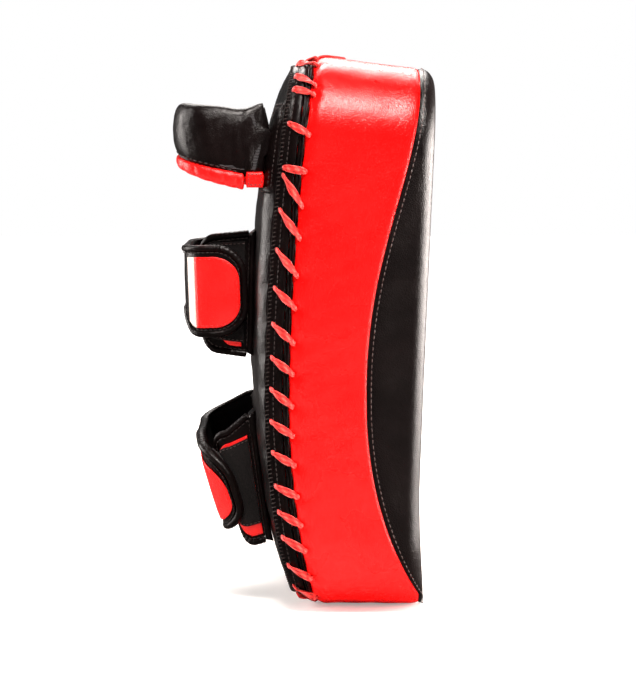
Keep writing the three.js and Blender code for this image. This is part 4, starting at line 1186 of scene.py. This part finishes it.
BAND = Sheet("band", -5.4, -0.5, 44, 8.0, 1.5)
FLAP = Sheet("flap", -5.8, -0.1, 48, 8.0, 1.5)
PANEL = Sheet("red_panel", 0.0, 1.3, 52, 6.0, 1.2)
LABEL = Sheet("label", 0.1, 1.25, 40, 10.0, 0.5)
HOOKS = Sheet("hooks", 0.3, 1.75, 40, 10.0, 0.6)
TONGUE = Sheet("tongue", -5.5, -0.1, 48, 8.0, 1.5)
LINING = Sheet("red_lining", -0.1, 1.25, 44, 8.0, 0.8)
PILE = Sheet("loops", -1.5, -0.1, 44, 10.0, 0.6)


def roll(name: str, belt: Belt, shape: Outline, out: float, width: float, inner: float, outer: float) -> Obj:
    """A rolled binding round a tab's edge, with small gathers at its corners."""
    s, w = shape.edge(out)
    s, w, _ = curve_through(np.stack([s, w, 0 * s], axis=1), 3).T
    path = belt.at(s, w, (inner + outer) / 2)
    along = unit(np.gradient(path, axis=0))
    face = square_to(belt.outward(s), along)
    run = length_at(path)
    gathers = 0.035 * np.sin(run * FULL_TURN / 3.4) * (0.5 + 0.5 * np.sin(run / 9))
    size = round_ends(path, 1.0) * (1 + gathers)
    return sweep(name, path, np.cross(along, face), face, (width, outer - inner, 2.4), 14, size)


# The hand loop


@dataclass
class HandLoop:
    """The padded loop that the hand goes through, sizes in mm."""
    half_span: float = 79.0
    reach: float = 93.3
    root_x: float = -31.0
    top: float = 362.4
    root_foot: float = 313.5
    crest_foot: float = 325.0
    thickness: float = 16.0
    corner: float = 26.0
    tab: float = 14.0
    tab_shift: float = -2.8
    tab_z: float = 311.8
    tab_section: tuple[float, float, float] = (11.2, 14.6, 6.0)
    hinge_z: float = 336.0
    seat: float = 12.0
    neck: float = 7.0
    crest_lift: float = 3.6
    patch_foot: float = 302.0
    patch_top: float = 366.0
    patch_half: float = 11.0
    patch_y: float = 79.5
    body: str = "hand_loop"

    def __post_init__(self) -> None:
        """Lays out the loop's plan."""
        crest = -self.reach + self.thickness / 2
        bend_x, bend_y = crest + self.corner, self.half_span - self.corner
        self.belt = Belt([
            ("line", (self.root_x, -self.half_span), (bend_x, -self.half_span)),
            ("arc", (bend_x, -bend_y), self.corner, -math.pi / 2, -math.pi),
            ("line", (crest, -bend_y), (crest, bend_y)),
            ("arc", (bend_x, bend_y), self.corner, math.pi, math.pi / 2),
            ("line", (bend_x, self.half_span), (self.root_x, self.half_span)),
        ])

    def from_end(self, s: Array) -> Array:
        """Distance to the nearer sewn end."""
        return np.minimum(s, self.belt.length - s)

    def root_share(self, s: Array) -> Array:
        """1 at the sewn ends and 0 past the corners."""
        bend = self.belt.ends[1]
        return np.clip((bend - self.from_end(s)) / (bend - self.tab), 0, 1)

    def foot(self, s: Array) -> Array:
        """The loop's lower edge."""
        return lerp(self.crest_foot, self.root_foot, self.root_share(s))

    def lifted(self, places: Array, s: Array) -> Array:
        """Places raised little by little towards the crest."""
        share = smooth(6, self.belt.ends[1], self.from_end(s))
        return places + np.stack([0 * share, 0 * share, self.crest_lift * share], axis=-1)

    def seated(self, s: Array, w: Array, t: Any) -> Array:
        """Lifted places, with the neck of each end drawn out to the back that it is sewn to."""
        end = self.from_end(s)
        short = self.root_x - BLOCK.back_at(np.full(np.shape(w), -self.half_span), w) + 0.6
        short = lerp(-1.5, short, smooth(self.neck + 5, self.neck, np.abs(w - self.hinge_z - 2)))
        drawn = np.where(end < self.seat, lerp(short, self.seat, end / self.seat), end)
        drawn = np.where(s < self.belt.length / 2, drawn, self.belt.length - drawn)
        return self.lifted(self.belt.at(drawn, w, t), s)

    def grip(self) -> Obj:
        """Padded leather with folds near its sewn ends and inside its bends."""
        belt = self.belt
        s = np.concatenate([[0], np.linspace(0, belt.length, 260), [belt.length]])
        scale = np.ones(len(s))
        scale[[0, -1]] = 0
        # Folds as place, width, depth and lean, at the ends and then inside the bends
        dice = np.random.default_rng(5)
        folds = [(m, dice.uniform(1.2, 2.0), dice.uniform(0.6, 1.1), dice.uniform(-0.12, 0.12))
                 for m in (7, 13, 19.5, 27)]
        bends = [(belt.ends[0] + k * 8.2 - 2, 1.7, 0.7, dice.uniform(-0.05, 0.05)) for k in range(6)]

        def lay(u: Array, k: Array) -> Array:
            """Places of the grip."""
            here, size = s[k], scale[k]
            c, n = np.cos(u * FULL_TURN), np.sin(u * FULL_TURN)
            low, end = self.foot(here), self.from_end(here)
            w = (low + self.top) / 2 + stretch(c, 0.86) * ((self.top - low) / 2) * size
            side = stretch(n, 0.78)
            pinch = 1 - 0.45 * (1 - smooth(0, 10, end))
            t = side * self.thickness / 2 * size * (1 + 0.12 * smooth(20, 60, end)) * pinch
            t += side * 0.45 * np.sin(w / 3.4 + end / 3) * bell(end - 5, 9) * size
            w += (3.2 * bell(end, 6.5) - 1.0 * bell(end - 16, 8)) * smooth(0, 1, c)
            fold = np.zeros(len(here))
            for middle, wide, deep, lean in folds:
                off = end - middle - lean * (w - 338) - 1.5 * np.sin(w / 9 + middle)
                fold += deep * bell(off, wide) * (0.55 + 0.45 * np.sign(side) * np.where(side < 0, 1, -0.3))
            for middle, wide, deep, lean in bends:
                fold += deep * bell(end - middle - lean * (w - 340), wide) * smooth(0.2, -0.8, side)
            places = self.seated(here, w, t - side * fold * size)
            puff = 0.35 * waver(places, 26, 31) + 0.15 * waver(places, 9, 32)
            return places + belt.outward(here) * (puff * np.abs(side) * size)[:, None]

        return rows_grid("hand_loop_grip", 64, lay, len(s))

    def binding(self) -> Obj:
        """Red strip folded over the lower edge, gathered into small scallops."""
        belt = self.belt
        start = self.tab + self.tab_shift + 0.3
        s = np.linspace(start, belt.length - start, 420)
        foot = self.foot(s) + 2.0 * (1 - smooth(8, 40, self.from_end(s)))
        scallop = np.abs(np.sin(math.pi * (s / 9.5 + 0.35 * np.sin(s / 23)))) ** 0.6
        high = foot + 1.6
        low = foot - lerp(7.5, 10.5, self.root_share(s)) - 0.2 + 0.5 * (1 - scallop)
        path = self.seated(s, (low + high) / 2, 0)
        size, face = round_ends(path, 1.5), belt.outward(s)
        tall, thick = (high - low) / 2, 6.3 + 0.45 * scallop

        def rows(u: Array, k: Array) -> Array:
            """Places of the strip."""
            a = stretch(np.cos(u * FULL_TURN), 0.72) * tall[k]
            b = stretch(np.sin(u * FULL_TURN), 0.72) * thick[k]
            b = b * (1 - 0.1 * (1 - scallop[k]) * bell(a + tall[k] * 0.2, 3))
            return path[k] + size[k, None] * (a[:, None] * np.array([0.0, 0.0, 1.0]) + b[:, None] * face[k])

        return rows_grid("hand_loop_binding", 22, rows, len(s))

    def tab_start(self, near: bool) -> float:
        """Where the near or the far tab starts along the loop."""
        return self.tab_shift if near else self.belt.length - self.tab - self.tab_shift

    def tab_piece(self, name: str, near: bool) -> Obj:
        """The folded end of the red strip, a square pad."""
        start = self.tab_start(near)
        s = np.linspace(start, start + self.tab, 12)
        path = self.belt.at(s, self.tab_z, 0)
        up = np.tile([0.0, 0.0, 1.0], (12, 1))
        return sweep(name, path, up, self.belt.outward(s), self.tab_section, 28, round_ends(path, 1.2))

    def both_faces(self, name: str, thread: Thread, s: Array, line: Callable[[int], Array]) -> Obj:
        """The same row of stitches on the loop's inner and outer face."""
        return join([thread.sew(f"{name}_{side}", line(side), side * self.belt.outward(s))
                     for side in (-1, 1)], name)

    def tab_stitches(self, name: str, near: bool) -> Obj:
        """A square of stitches on each face of a tab."""
        along, up = box_line(2, 11.3, -3.6, 3.6, 10)
        s, w = self.tab_start(near) + along, self.tab_z + up
        return self.both_faces(name, TAB_THREAD, s, lambda side: self.belt.at(s, w, side * 7.3))

    def topstitch(self) -> Obj:
        """Stitches above the binding."""
        s = np.linspace(16, self.belt.length - 16, 500)
        return self.both_faces("hand_loop_topstitch", LOOP_THREAD, s, lambda side: self.lifted(
            self.belt.at(s, self.foot(s) + 3.2, side * 6.1), s))

    def anchor(self, name: str, way: int) -> Obj:
        """Sewn patch round one end of the loop, shaped to the back, with a raised welt under the leg."""
        z = np.linspace(self.patch_foot, self.patch_top, 48)
        nose = rounded(np.minimum(z - z[0], z[-1] - z) / 2.5)

        def lay(u: Array, k: Array) -> Array:
            """Places of the patch."""
            c, n = np.cos(u * FULL_TURN), np.sin(u * FULL_TURN)
            off = stretch(c, 0.45) * self.patch_half * (0.9 + 0.1 * nose[k])
            y = way * self.patch_y + off
            rise = 1.5 + 1.6 * bell(z[k] - 338, 20, 4) * bell(off, 8.5, 6)
            lift = np.where(n > 0, rise * np.abs(n) ** 0.4, 0.0) * nose[k]
            places = np.stack([BLOCK.back_at(y, z[k]) - 0.15 - lift, y, z[k]], axis=1)
            places[:, 0] += 0.25 * waver(places, 9, 35) * (n > 0)
            return places

        return rows_grid(name, 40, lay, len(z))

    def anchor_stitches(self, name: str, way: int) -> Obj:
        """Two rows of stitches round a sewn patch."""
        rows = []
        for inset in (1.6, 4.0):
            half = self.patch_half - inset
            across, z = box_line(-half, half, self.patch_foot + inset, self.patch_top - inset, 24)
            y = way * self.patch_y + across
            path = np.stack([BLOCK.back_at(y, z) - 1.85, y, z], axis=1)
            out = np.tile([-1.0, way * 0.5, 0.0], (len(path), 1))
            rows.append(PATCH_THREAD.sew(f"row_{inset}", path, out))
        return join(rows, name)

    def build(self, maker: Maker) -> None:
        """Makes and ties every piece of the loop."""
        swing = Hold(BLOCK.body, self.body, (self.root_x - 1.0, 0, self.hinge_z),
                     (self.root_x - 11.0, 0, self.hinge_z))
        ride, still = Hold(self.body), Hold(BLOCK.body)
        maker.settle(self.grip(), Finish.BLACK, swing, "handle_grip", fill=0.9)
        maker.settle(self.binding(), Finish.RED_TRIM, ride, "handle_binding")
        for side, way in (("near", -1), ("far", 1)):
            name, near = f"hand_loop_{side}", way < 0
            maker.settle(self.tab_piece(f"{name}_tab", near), Finish.RED_TRIM, swing, f"handle_{side}_tab")
            maker.settle(self.tab_stitches(f"{name}_tab_stitches", near), Finish.THREAD, swing)
            maker.settle(self.anchor(f"{name}_anchor", way), Finish.BLACK, still, f"handle_{side}_anchor")
            maker.settle(self.anchor_stitches(f"{name}_anchor_stitches", way), Finish.THREAD, still)
        maker.settle(self.topstitch(), Finish.THREAD, ride)


# The forearm straps


@dataclass
class ForearmStrap:
    """A band with a flap, and a tongue that the flap closes on, sizes in mm."""
    name: str
    z: float
    tilt: float
    reach: float
    corner: float
    flap_height: float
    flap_offset: float
    flap_corners: tuple[float, float]
    flap_start: float
    flap_length: float
    tongue_height: float
    tongue_offset: float
    tongue_tip: float
    panel_length: float
    label_width: float = 6.0
    tongue_corner: float = 13.0
    near_y: float = -57.0
    far_y: float = 62.0
    seed: int = 1
    outer: float = 7.65
    inner: float = -2.85
    rim: float = 4.5
    fill: float = 0.7
    margin: float = 1.5
    root_rise: float = 7.0
    panel_margins: tuple[float, float] = (3.0, 4.6)
    lining: tuple[float, float] = (4.5, 5.0)
    pile: tuple[float, float] = (3.6, 2.5)
    cut: float = 0.0
    cut_span: tuple[float, float] = (31.0, 46.0)
    sink: float = 0.0
    tongue_rise: float = 2.0
    rise_from: float = 26.0
    lean: tuple[float, float] = (0.0, 0.0)
    lining_root: float | None = None
    lining_end: float | None = None

    def prepare(self, joints: dict[str, Any]) -> None:
        """Lays out the strap's plan from its hinge."""
        turn = -math.radians(self.tilt)
        origin = BLOCK.place(BLOCK.back_x(np.array(0.0), np.array(self.z)), 0.0, self.z)
        off = np.array(joints[f"{self.name}_band_swing"]["pos_m"]) / MM - origin
        hinge_x = off[0] * math.cos(turn) - off[2] * math.sin(turn)
        crest = -(self.reach - self.outer - 0.9)
        radius = self.far_y - self.near_y
        near_x = crest + self.corner
        near_y = self.far_y - math.sqrt((radius - self.corner) ** 2 - (near_x - hinge_x) ** 2)
        meet = math.atan2(near_y - self.far_y, near_x - hinge_x)
        far_y = self.far_y - self.outer
        self.belt = Belt([
            ("arc", (hinge_x, self.far_y), radius, -math.pi / 2, meet),
            ("arc", (near_x, near_y), self.corner, meet, -math.pi),
            ("line", (crest, near_y), (crest, far_y - self.corner)),
            ("arc", (near_x, far_y - self.corner), self.corner, math.pi, math.pi / 2),
            ("line", (near_x, far_y), (hinge_x, far_y)),
        ], turn, origin)
        self.peel = self.flap_start + self.flap_length
        half = self.flap_height / 2
        self.flap_low, self.flap_high = self.flap_offset - half, self.flap_offset + half
        half = self.tongue_height / 2
        self.tongue_low, self.tongue_high = self.tongue_offset - half, self.tongue_offset + half
        spans = {side: self.foot_span(side)[2:] for side in ("near", "far")}
        tops = {side: self.foot_top(side, np.array(span)) for side, span in spans.items()}
        self.root = float(hinge_x - tops["near"].max()) - 0.3
        LOG.info("%s strap: roots from %.1f to %.1f mm near, %.1f to %.1f far", self.name,
                 *(hinge_x - tops["near"]), *(tops["far"] - hinge_x))

        def slanted(s: Array, w: Array, t: Array) -> Array:
            """s with both roots drawn to the tops of their feet."""
            near = hinge_x - np.interp(w, spans["near"], tops["near"]) - 0.3 - self.root
            far = np.interp(w, spans["far"], tops["far"]) - hinge_x
            near = near * np.where(t < 0.2, np.clip(1 - (s - self.root) / 26, 0, 1), 0)
            return s + near + far * np.clip(1 - (self.belt.length - s) / 28, 0, 1.2)

        self.belt.warp = slanted

    def blend(self, one: str, other: str, t: float, start: float, end: float) -> Hold:
        """A hold between one body and the other, with two places along the belt."""
        first, last = (tuple(self.belt.at(s, self.flap_offset, t)) for s in (start, end))
        return Hold(one, f"{self.name}_{other}", first, last)

    def swell(self, amount: float, size: float, seed: int) -> Puff:
        """Uneven fullness."""
        return lambda s, w, share: amount * waver(self.belt.at(s, w, 0), size, self.seed + seed)

    def lay(self, sheet: Sheet, shape: Outline, face: float, puff: Puff | None = None) -> Obj:
        """A padded sheet on this strap's belt."""
        return sheet.lay(f"{self.name}_strap_{sheet.name}", self.belt, shape, face, puff)

    def add(self, piece: Obj, finish: Finish, hold: Hold, node: str = "", fill: float | None = None) -> None:
        """Settles a piece that may stand for one of the strap's own nodes."""
        self.maker.settle(piece, finish, hold, node and f"{self.name}_{node}", fill)

    def stitches(self, name: str, shape: Outline, out: float, t: float, thread: Thread = STRAP_THREAD) -> Obj:
        """A row of stitches along an outline."""
        s, w = shape.edge(out)
        return thread.sew(f"{self.name}_strap_{name}_stitches", self.belt.at(s, w, t), self.belt.outward(s))

    def cut_away(self, s: Array) -> Array:
        """How much the lower edge is cut away along the crest, in mm."""
        far = self.belt.ends[2]
        return self.cut * smooth(*self.cut_span, s) * (1 - smooth(far - 8, far + 30, s))

    def trimmed(self, shape: Outline) -> Outline:
        """A flap's outline with its lower corner at the crest cut away."""
        slope = (self.cut_away(shape.s + 0.1) - self.cut_away(shape.s - 0.1)) / 0.2
        shape.low = shape.low + self.cut_away(shape.s)
        shape.sin = (shape.sin[0] - slope / np.sqrt(1 + slope ** 2), shape.sin[1])
        return shape

    def band_pieces(self) -> None:
        """The band over the crest, with a rolled binding along both edges."""
        belt, outer = self.belt, self.outer
        crest, end = belt.ends[2], belt.length + 1.5
        s = np.concatenate([np.linspace(self.peel - 1.5, crest, 26), np.linspace(crest, end, 40)[1:]])
        rise = self.root_rise * np.clip((s - crest + 4) / (end - crest), 0, 1) ** 1.2
        low, high = self.flap_low + 2.2 + self.cut_away(s), self.flap_high - 2.2 + rise
        broad, fine = self.swell(0.45, 24, 40), self.swell(0.2, 8, 41)

        def puff(at: Array, w: Array, share: Array) -> Array:
            """Fullness with creases at the corner."""
            folds = sum(0.5 * bell(at - m, 1.5) for m in np.arange(crest + 3, belt.ends[3], 6.5))
            return broad(at, w, share) + fine(at, w, share) - folds

        hold = self.blend(BLOCK.body, "band", 0, belt.length - 1.0, belt.length - 12.0)
        shape = plain(s, low, high, s[-1] - s, -1.0)
        self.add(self.lay(BAND, shape, outer, puff), Finish.BLACK, hold, "band", self.fill)
        rolls, rows = [], []
        for w, way in ((low - 0.3, -1), (high + 0.3, 1)):
            path = belt.at(s, w, outer - 2.9)
            along, face = unit(np.gradient(path, axis=0)), belt.outward(s)
            rolls.append(sweep(f"roll_{way}", path, np.cross(along, face), face, (4.0, 6.6, 2.4), 14,
                               round_ends(path, 1.2)))
            rows.append(STRAP_THREAD.sew(f"row_{way}", belt.at(s, w - way * 3.1, outer - 0.35), face))
        self.add(join(rolls, f"{self.name}_strap_band_binding"), Finish.BLACK, hold)
        self.add(join(rows, f"{self.name}_strap_band_stitches"), Finish.THREAD, hold)

    def flap_pieces(self) -> None:
        """The flap with its rolled rim, red panel, bare label and hook tape."""
        rim, outer, start = self.rim, self.outer, self.flap_start
        hold = self.blend(f"{self.name}_band", "flap", outer, self.peel + 0.5, self.peel - 11.0)
        ride = Hold(f"{self.name}_flap")
        shape = self.trimmed(outline(self.peel + 1.0, start + rim, self.flap_low + rim, self.flap_high - rim,
                                     self.flap_corners))
        self.add(self.lay(FLAP, shape, outer, self.swell(0.3, 20, 50)), Finish.BLACK, hold, "flap", self.fill)
        self.add(roll(f"{self.name}_strap_flap_rim", self.belt, shape, rim / 2 - 0.2, rim + 0.7,
                      outer - 6.2, outer + 1.3), Finish.BLACK, hold, "flap_rim")
        margin, stop = rim + self.margin, start + self.panel_length
        low = self.flap_low + rim + self.panel_margins[0] - 0.6
        high = self.flap_high - rim - self.panel_margins[1] + 0.6
        panel = outline(stop, start + margin - 0.6, low, high, self.flap_corners)
        uneven = self.swell(0.25, 16, 60)

        def full(at: Array, w: Array, share: Array) -> Array:
            """Soft crown of the red panel."""
            near = np.minimum(np.abs(at - start - margin), np.abs(stop - at))
            return (0.9 * smooth(0, 9, near) * np.sin(math.pi * share) ** 0.5
                    + uneven(at, w, share) * smooth(0, 5, near))

        self.add(self.lay(PANEL, panel, outer, full), Finish.RED_TRIM, ride, "flap_panel")
        s = np.linspace(stop + 0.2, stop + self.label_width, 8)[::-1]
        label = plain(s, low + self.cut_away(s), np.full(8, high), s - s[-1], 1.0)
        self.add(self.lay(LABEL, label, outer), Finish.LABEL, ride, "label")
        self.add(self.stitches("rim", shape, -0.9, outer + 0.35), Finish.THREAD, hold)
        self.add(self.stitches("panel", panel, -1.6, outer + 1.45), Finish.RED_TRIM, ride)
        hook = outline(self.tongue_tip - rim, start + margin, self.flap_low + 2 * rim,
                       self.flap_high - 2 * rim, [c / 2 for c in self.flap_corners])
        self.add(self.lay(HOOKS, hook, 0.0), Finish.HOOKS, ride, "hook_tape")

    def rising(self, shape: Outline, share: float = 1.0) -> Outline:
        """A tongue's outline with its upper edge drawn up towards its root, by a share of the whole rise."""
        far = np.clip((self.rise_from - shape.s) / (self.rise_from - self.root), 0, 1)
        shape.high = shape.high - self.sink + (self.sink + self.tongue_rise) * far ** 1.1 * share
        near_tip = np.clip((shape.s - self.root) / (self.tongue_tip - self.root), 0, 1)
        shape.low = shape.low + lerp(*self.lean, near_tip)
        return shape

    def tongue_pieces(self) -> None:
        """The tongue with its rolled rim, red lining and loop pile."""
        rim, inner, start, tip = self.rim, self.inner, self.root, self.tongue_tip
        corners = (self.tongue_corner, self.tongue_corner)
        shape = self.rising(outline(start, tip + 3 - rim, self.tongue_low + rim, self.tongue_high - rim,
                                    corners))
        hold = self.blend(BLOCK.body, "tongue", -5, start + 1, start + 10.0)
        ride = Hold(f"{self.name}_tongue")
        self.add(self.lay(TONGUE, shape, inner, self.swell(0.25, 18, 70)), Finish.BLACK, hold, "tongue",
                 self.fill)
        self.add(roll(f"{self.name}_strap_tongue_rim", self.belt, shape, rim / 2 - 0.2, rim + 0.6,
                      inner - 5.9, inner + 0.9), Finish.BLACK, hold, "tongue_rim")
        low, high = self.tongue_low + rim + self.lining[0], self.tongue_high - rim - self.lining[1]
        lining_root = start + 3 if self.lining_root is None else self.lining_root
        lining = self.rising(outline(lining_root, tip - rim, low, high, corners), 0.3)
        if self.lining_end is not None:
            past = smooth(self.lining_end - 9, self.lining_end, lining.s)
            lining.low = lining.low + (self.pile[0] + 1.0) * past
        self.add(self.lay(LINING, lining, inner), Finish.RED_TRIM, ride, "tongue_panel")
        loops = self.rising(outline(start + 3, tip - rim, low + self.pile[0], high - self.pile[1],
                                    [c * 0.8 for c in corners]), 0.3)
        self.add(self.lay(PILE, loops, 0.0), Finish.PILE, ride, "loop_tape")
        self.add(self.stitches("tongue", shape, -0.9, inner + 0.35), Finish.THREAD, hold)
        self.add(self.stitches("loop", loops, -1.4, 0.0, PILE_THREAD), Finish.PALE_THREAD, ride)

    def back_under(self, y: Array, w: Array) -> Array:
        """Distance along the strap's own x to the back."""
        turn, origin = self.belt.turn, self.belt.origin
        c, s = math.cos(turn), math.sin(turn)
        x = np.zeros(np.shape(w))
        for _ in range(6):
            x = x + (BLOCK.back_at(y, -x * s + w * c + origin[2]) - (x * c + w * s + origin[0])) / c
        return x

    def foot_span(self, side: str) -> tuple[float, float, float, float]:
        """A sewn end's reach along y and along the strap's height."""
        low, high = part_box(f"{self.name}_{side}_foot")
        w0, w1, rise = ((self.tongue_low, self.tongue_high, self.tongue_rise) if side == "near"
                        else (self.flap_low, self.flap_high, self.root_rise))
        return low.y / MM, high.y / MM, w0, w1 + rise

    def foot_top(self, side: str, w: Array) -> Array:
        """The level top of a sewn end, straight along its height."""
        y0, y1, w0, w1 = self.foot_span(side)
        y = np.array([y0, (y0 + y1) / 2, y1])[:, None]
        fine = np.linspace(w0, w1, 25)
        under = self.back_under(y + 0 * fine, fine + 0 * y).min(axis=0) - 2.8
        line = lerp(under[0], under[-1], (fine - w0) / (w1 - w0))
        return lerp(under[0], under[-1], (w - w0) / (w1 - w0)) - max(float((line - under).max()), 0.0)

    def foot_piece(self, side: str) -> None:
        """One sewn-down end: a padded patch on the back, level on top, with stitches round it."""
        y0, y1, w0, w1 = self.foot_span(side)
        still, name, count = Hold(BLOCK.body), f"{self.name}_strap_{side}_foot", 40

        def lay(u: Array, k: Array) -> Array:
            """Places of the patch."""
            share = k / (count - 1)
            w = lerp(w0, w1, share)
            nose = rounded(np.minimum(share, 1 - share) * (w1 - w0) / 3)
            rise = np.sin(u * FULL_TURN)
            y = lerp(y0, y1, 0.5 + 0.5 * stretch(np.cos(u * FULL_TURN), 0.4))
            under = self.back_under(y, w) - 0.25
            lift = (under - self.foot_top(side, w)) * np.where(rise > 0, np.abs(rise) ** 0.4, 0) * nose
            return self.belt.real(under - lift, y, w)

        self.add(rows_grid(name, 36, lay, count), Finish.BLACK, still, f"{side}_foot")
        y, w = box_line(y0 + 2, y1 - 2, w0 + 3, w1 - 3, 24)
        path = self.belt.real(self.foot_top(side, w) + 0.1, y, w)
        out = self.belt.out(np.tile([-1.0, 0.0, 0.0], (len(path), 1)))
        self.add(STRAP_THREAD.sew(f"{name}_stitches", path, out), Finish.THREAD, still)

    def build(self, maker: Maker, joints: dict[str, Any]) -> None:
        """Makes and ties every piece of the strap."""
        self.maker = maker
        self.prepare(joints)
        self.band_pieces()
        self.flap_pieces()
        self.tongue_pieces()
        for side in ("near", "far"):
            self.foot_piece(side)


STRAPS = (
    ForearmStrap("upper", 229, 2, 49.3, 15, 66.5, 0.3, (18, 18), -2, 54, 89, -3.5, 38, 33.4, label_width=4.6,
                 tongue_corner=16.0, root_rise=2.0, panel_margins=(3.0, 4.6), lining=(3.0, 5.0),
                 pile=(3.2, -3.0), cut=18.0, lean=(-1.2, 4.0), lining_root=0.5, lining_end=20.0, seed=1),
    ForearmStrap("lower", 95, 17, 37, 16, 73.5, 4.7, (13, 36), 8, 46, 92, -3, 26, 37, root_rise=8.0,
                 panel_margins=(4.0, 8.0), lining=(3.0, 5.3), pile=(8.0, 2.0), sink=4.0, tongue_rise=4.0,
                 rise_from=6.0, seed=2),
)


# The room


@dataclass(frozen=True)
class Lamp:
    """A soft area lamp, in metres and watts."""
    name: str
    place: tuple[float, float, float]
    size: tuple[float, float]
    power: float
    colour: Colour

    def build(self, target: Vector) -> None:
        """Hangs the lamp, turned to the pad."""
        data = bpy.data.lights.new(self.name, "AREA")
        data.shape, data.size, data.size_y = "RECTANGLE", *self.size
        data.energy, data.color = self.power, self.colour
        hang(data, Vector(self.place), target)


def hang(data: bpy.types.ID, place: Vector, target: Vector) -> Obj:
    """Adds a lamp or a camera at a place, turned to a target."""
    made = bpy.data.objects.new(data.name, data)
    bpy.context.collection.objects.link(made)
    made.location = place
    made.rotation_euler = (target - place).to_track_quat("-Z", "Y").to_euler()
    return made


@dataclass
class Studio:
    """Floor, light and camera, in metres."""
    target: tuple[float, float, float] = (0.01085, 0.0, 0.1924)
    distance: float = 1.5
    camera_height: float = 0.335
    azimuth: float = -1.0
    image_height: float = 0.507
    sensor: float = 36.0
    world_strength: float = 0.15
    gloss_share: float = 0.06
    lamps: tuple[Lamp, ...] = (
        Lamp("front_softbox", (0.05, -0.78, 1.38), (0.56, 0.32), 37.0, (1.0, 0.93, 0.88)),
        Lamp("side_softbox", (1.1, -0.03, 0.24), (1.5, 0.5), 66.0, (1.0, 0.91, 0.86)),
        Lamp("back_side_softbox", (-1.15, 0.3, 0.5), (0.25, 0.9), 20.0, (1.0, 0.94, 0.9)),
        Lamp("top_back_softbox", (0.0, 0.95, 1.25), (1.0, 0.5), 24.0, (1.0, 0.95, 0.91)),
    )

    def camera(self) -> None:
        """Aims a long lens at the pad's near side."""
        data = bpy.data.cameras.new("camera")
        target = Vector(self.target)
        rise = self.camera_height - self.target[2]
        flat, turn = math.sqrt(self.distance ** 2 - rise ** 2), math.radians(self.azimuth)
        data.sensor_width, data.lens = self.sensor, self.sensor * self.distance / self.image_height
        bpy.context.scene.camera = hang(
            data, target + Vector((flat * math.sin(turn), -flat * math.cos(turn), rise)), target)

    def floor(self) -> None:
        """A plain pale floor that shows white but keeps the pad's shadow."""
        pick_only()
        bpy.ops.mesh.primitive_plane_add(size=12, location=(0, 0, -0.0005))
        floor = bpy.context.active_object
        floor.name = "floor"
        g = Surface("pale_floor")
        pale = g.mix(g.noise(g.at, 3.0, 3.0), (0.9, 0.87, 0.85), (0.92, 0.9, 0.885))
        seen, glossy = g.to_eye(self.gloss_share)
        away = g.add("VectorMath", {0: g.at}, operation="LENGTH").outputs["Value"]
        glow = g.math("MULTIPLY", seen, g.band(away, 0.25, 1.8, (0.3, 1.3)))
        pale = g.mix(glossy, pale, (0.05, 0.042, 0.04))
        floor.data.materials.append(g.finish({
            "Roughness": 0.8, "Specular IOR Level": 0.1, "Base Color": pale,
            "Emission Color": (1.0, 0.97, 0.95), "Emission Strength": glow}))

    def world(self) -> None:
        """White to the eye, softer as light and in reflections."""
        world = bpy.data.worlds.new("studio")
        bpy.context.scene.world = world
        world.use_nodes = True
        g = Graph(world.node_tree)
        seen, glossy = g.to_eye(self.gloss_share)
        unseen = g.math("SUBTRACT", 1.0, g.math("MAXIMUM", seen, glossy))
        g.set(g.tree.nodes["Background"], {
            "Strength": g.math("MULTIPLY_ADD", unseen, self.world_strength, seen), "Color": (1, 1, 1)})

    def build(self) -> None:
        """Sets up the room."""
        self.camera()
        self.floor()
        self.world()
        for lamp in self.lamps:
            lamp.build(Vector(self.target))
        bpy.context.scene.view_settings.view_transform = "Standard"


HIDDEN = {"foam_front": Finish.FOAM, "foam_core": Finish.FOAM, "foam_back": Finish.FOAM,
          "handle_core": Finish.WEBBING}


def main() -> None:
    """Builds the room and the pad."""
    logging.basicConfig(level=logging.INFO, format="%(name)s: %(message)s")
    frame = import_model()
    Studio().build()
    maker = Maker()
    BLOCK.build(maker)
    HandLoop().build(maker)
    joints = {joint["name"]: joint for joint in frame["joints"]}
    for strap in STRAPS:
        strap.build(maker, joints)
    for name, finish in HIDDEN.items():
        maker.dress(frame["nodes"][name], finish)
        LOG.info("%s keeps its solid, in %s", name, finish.value.name)
    LOG.info("%d pieces made", maker.count)
    bpy.context.view_layer.update()


if __name__ == "__main__":
    main()
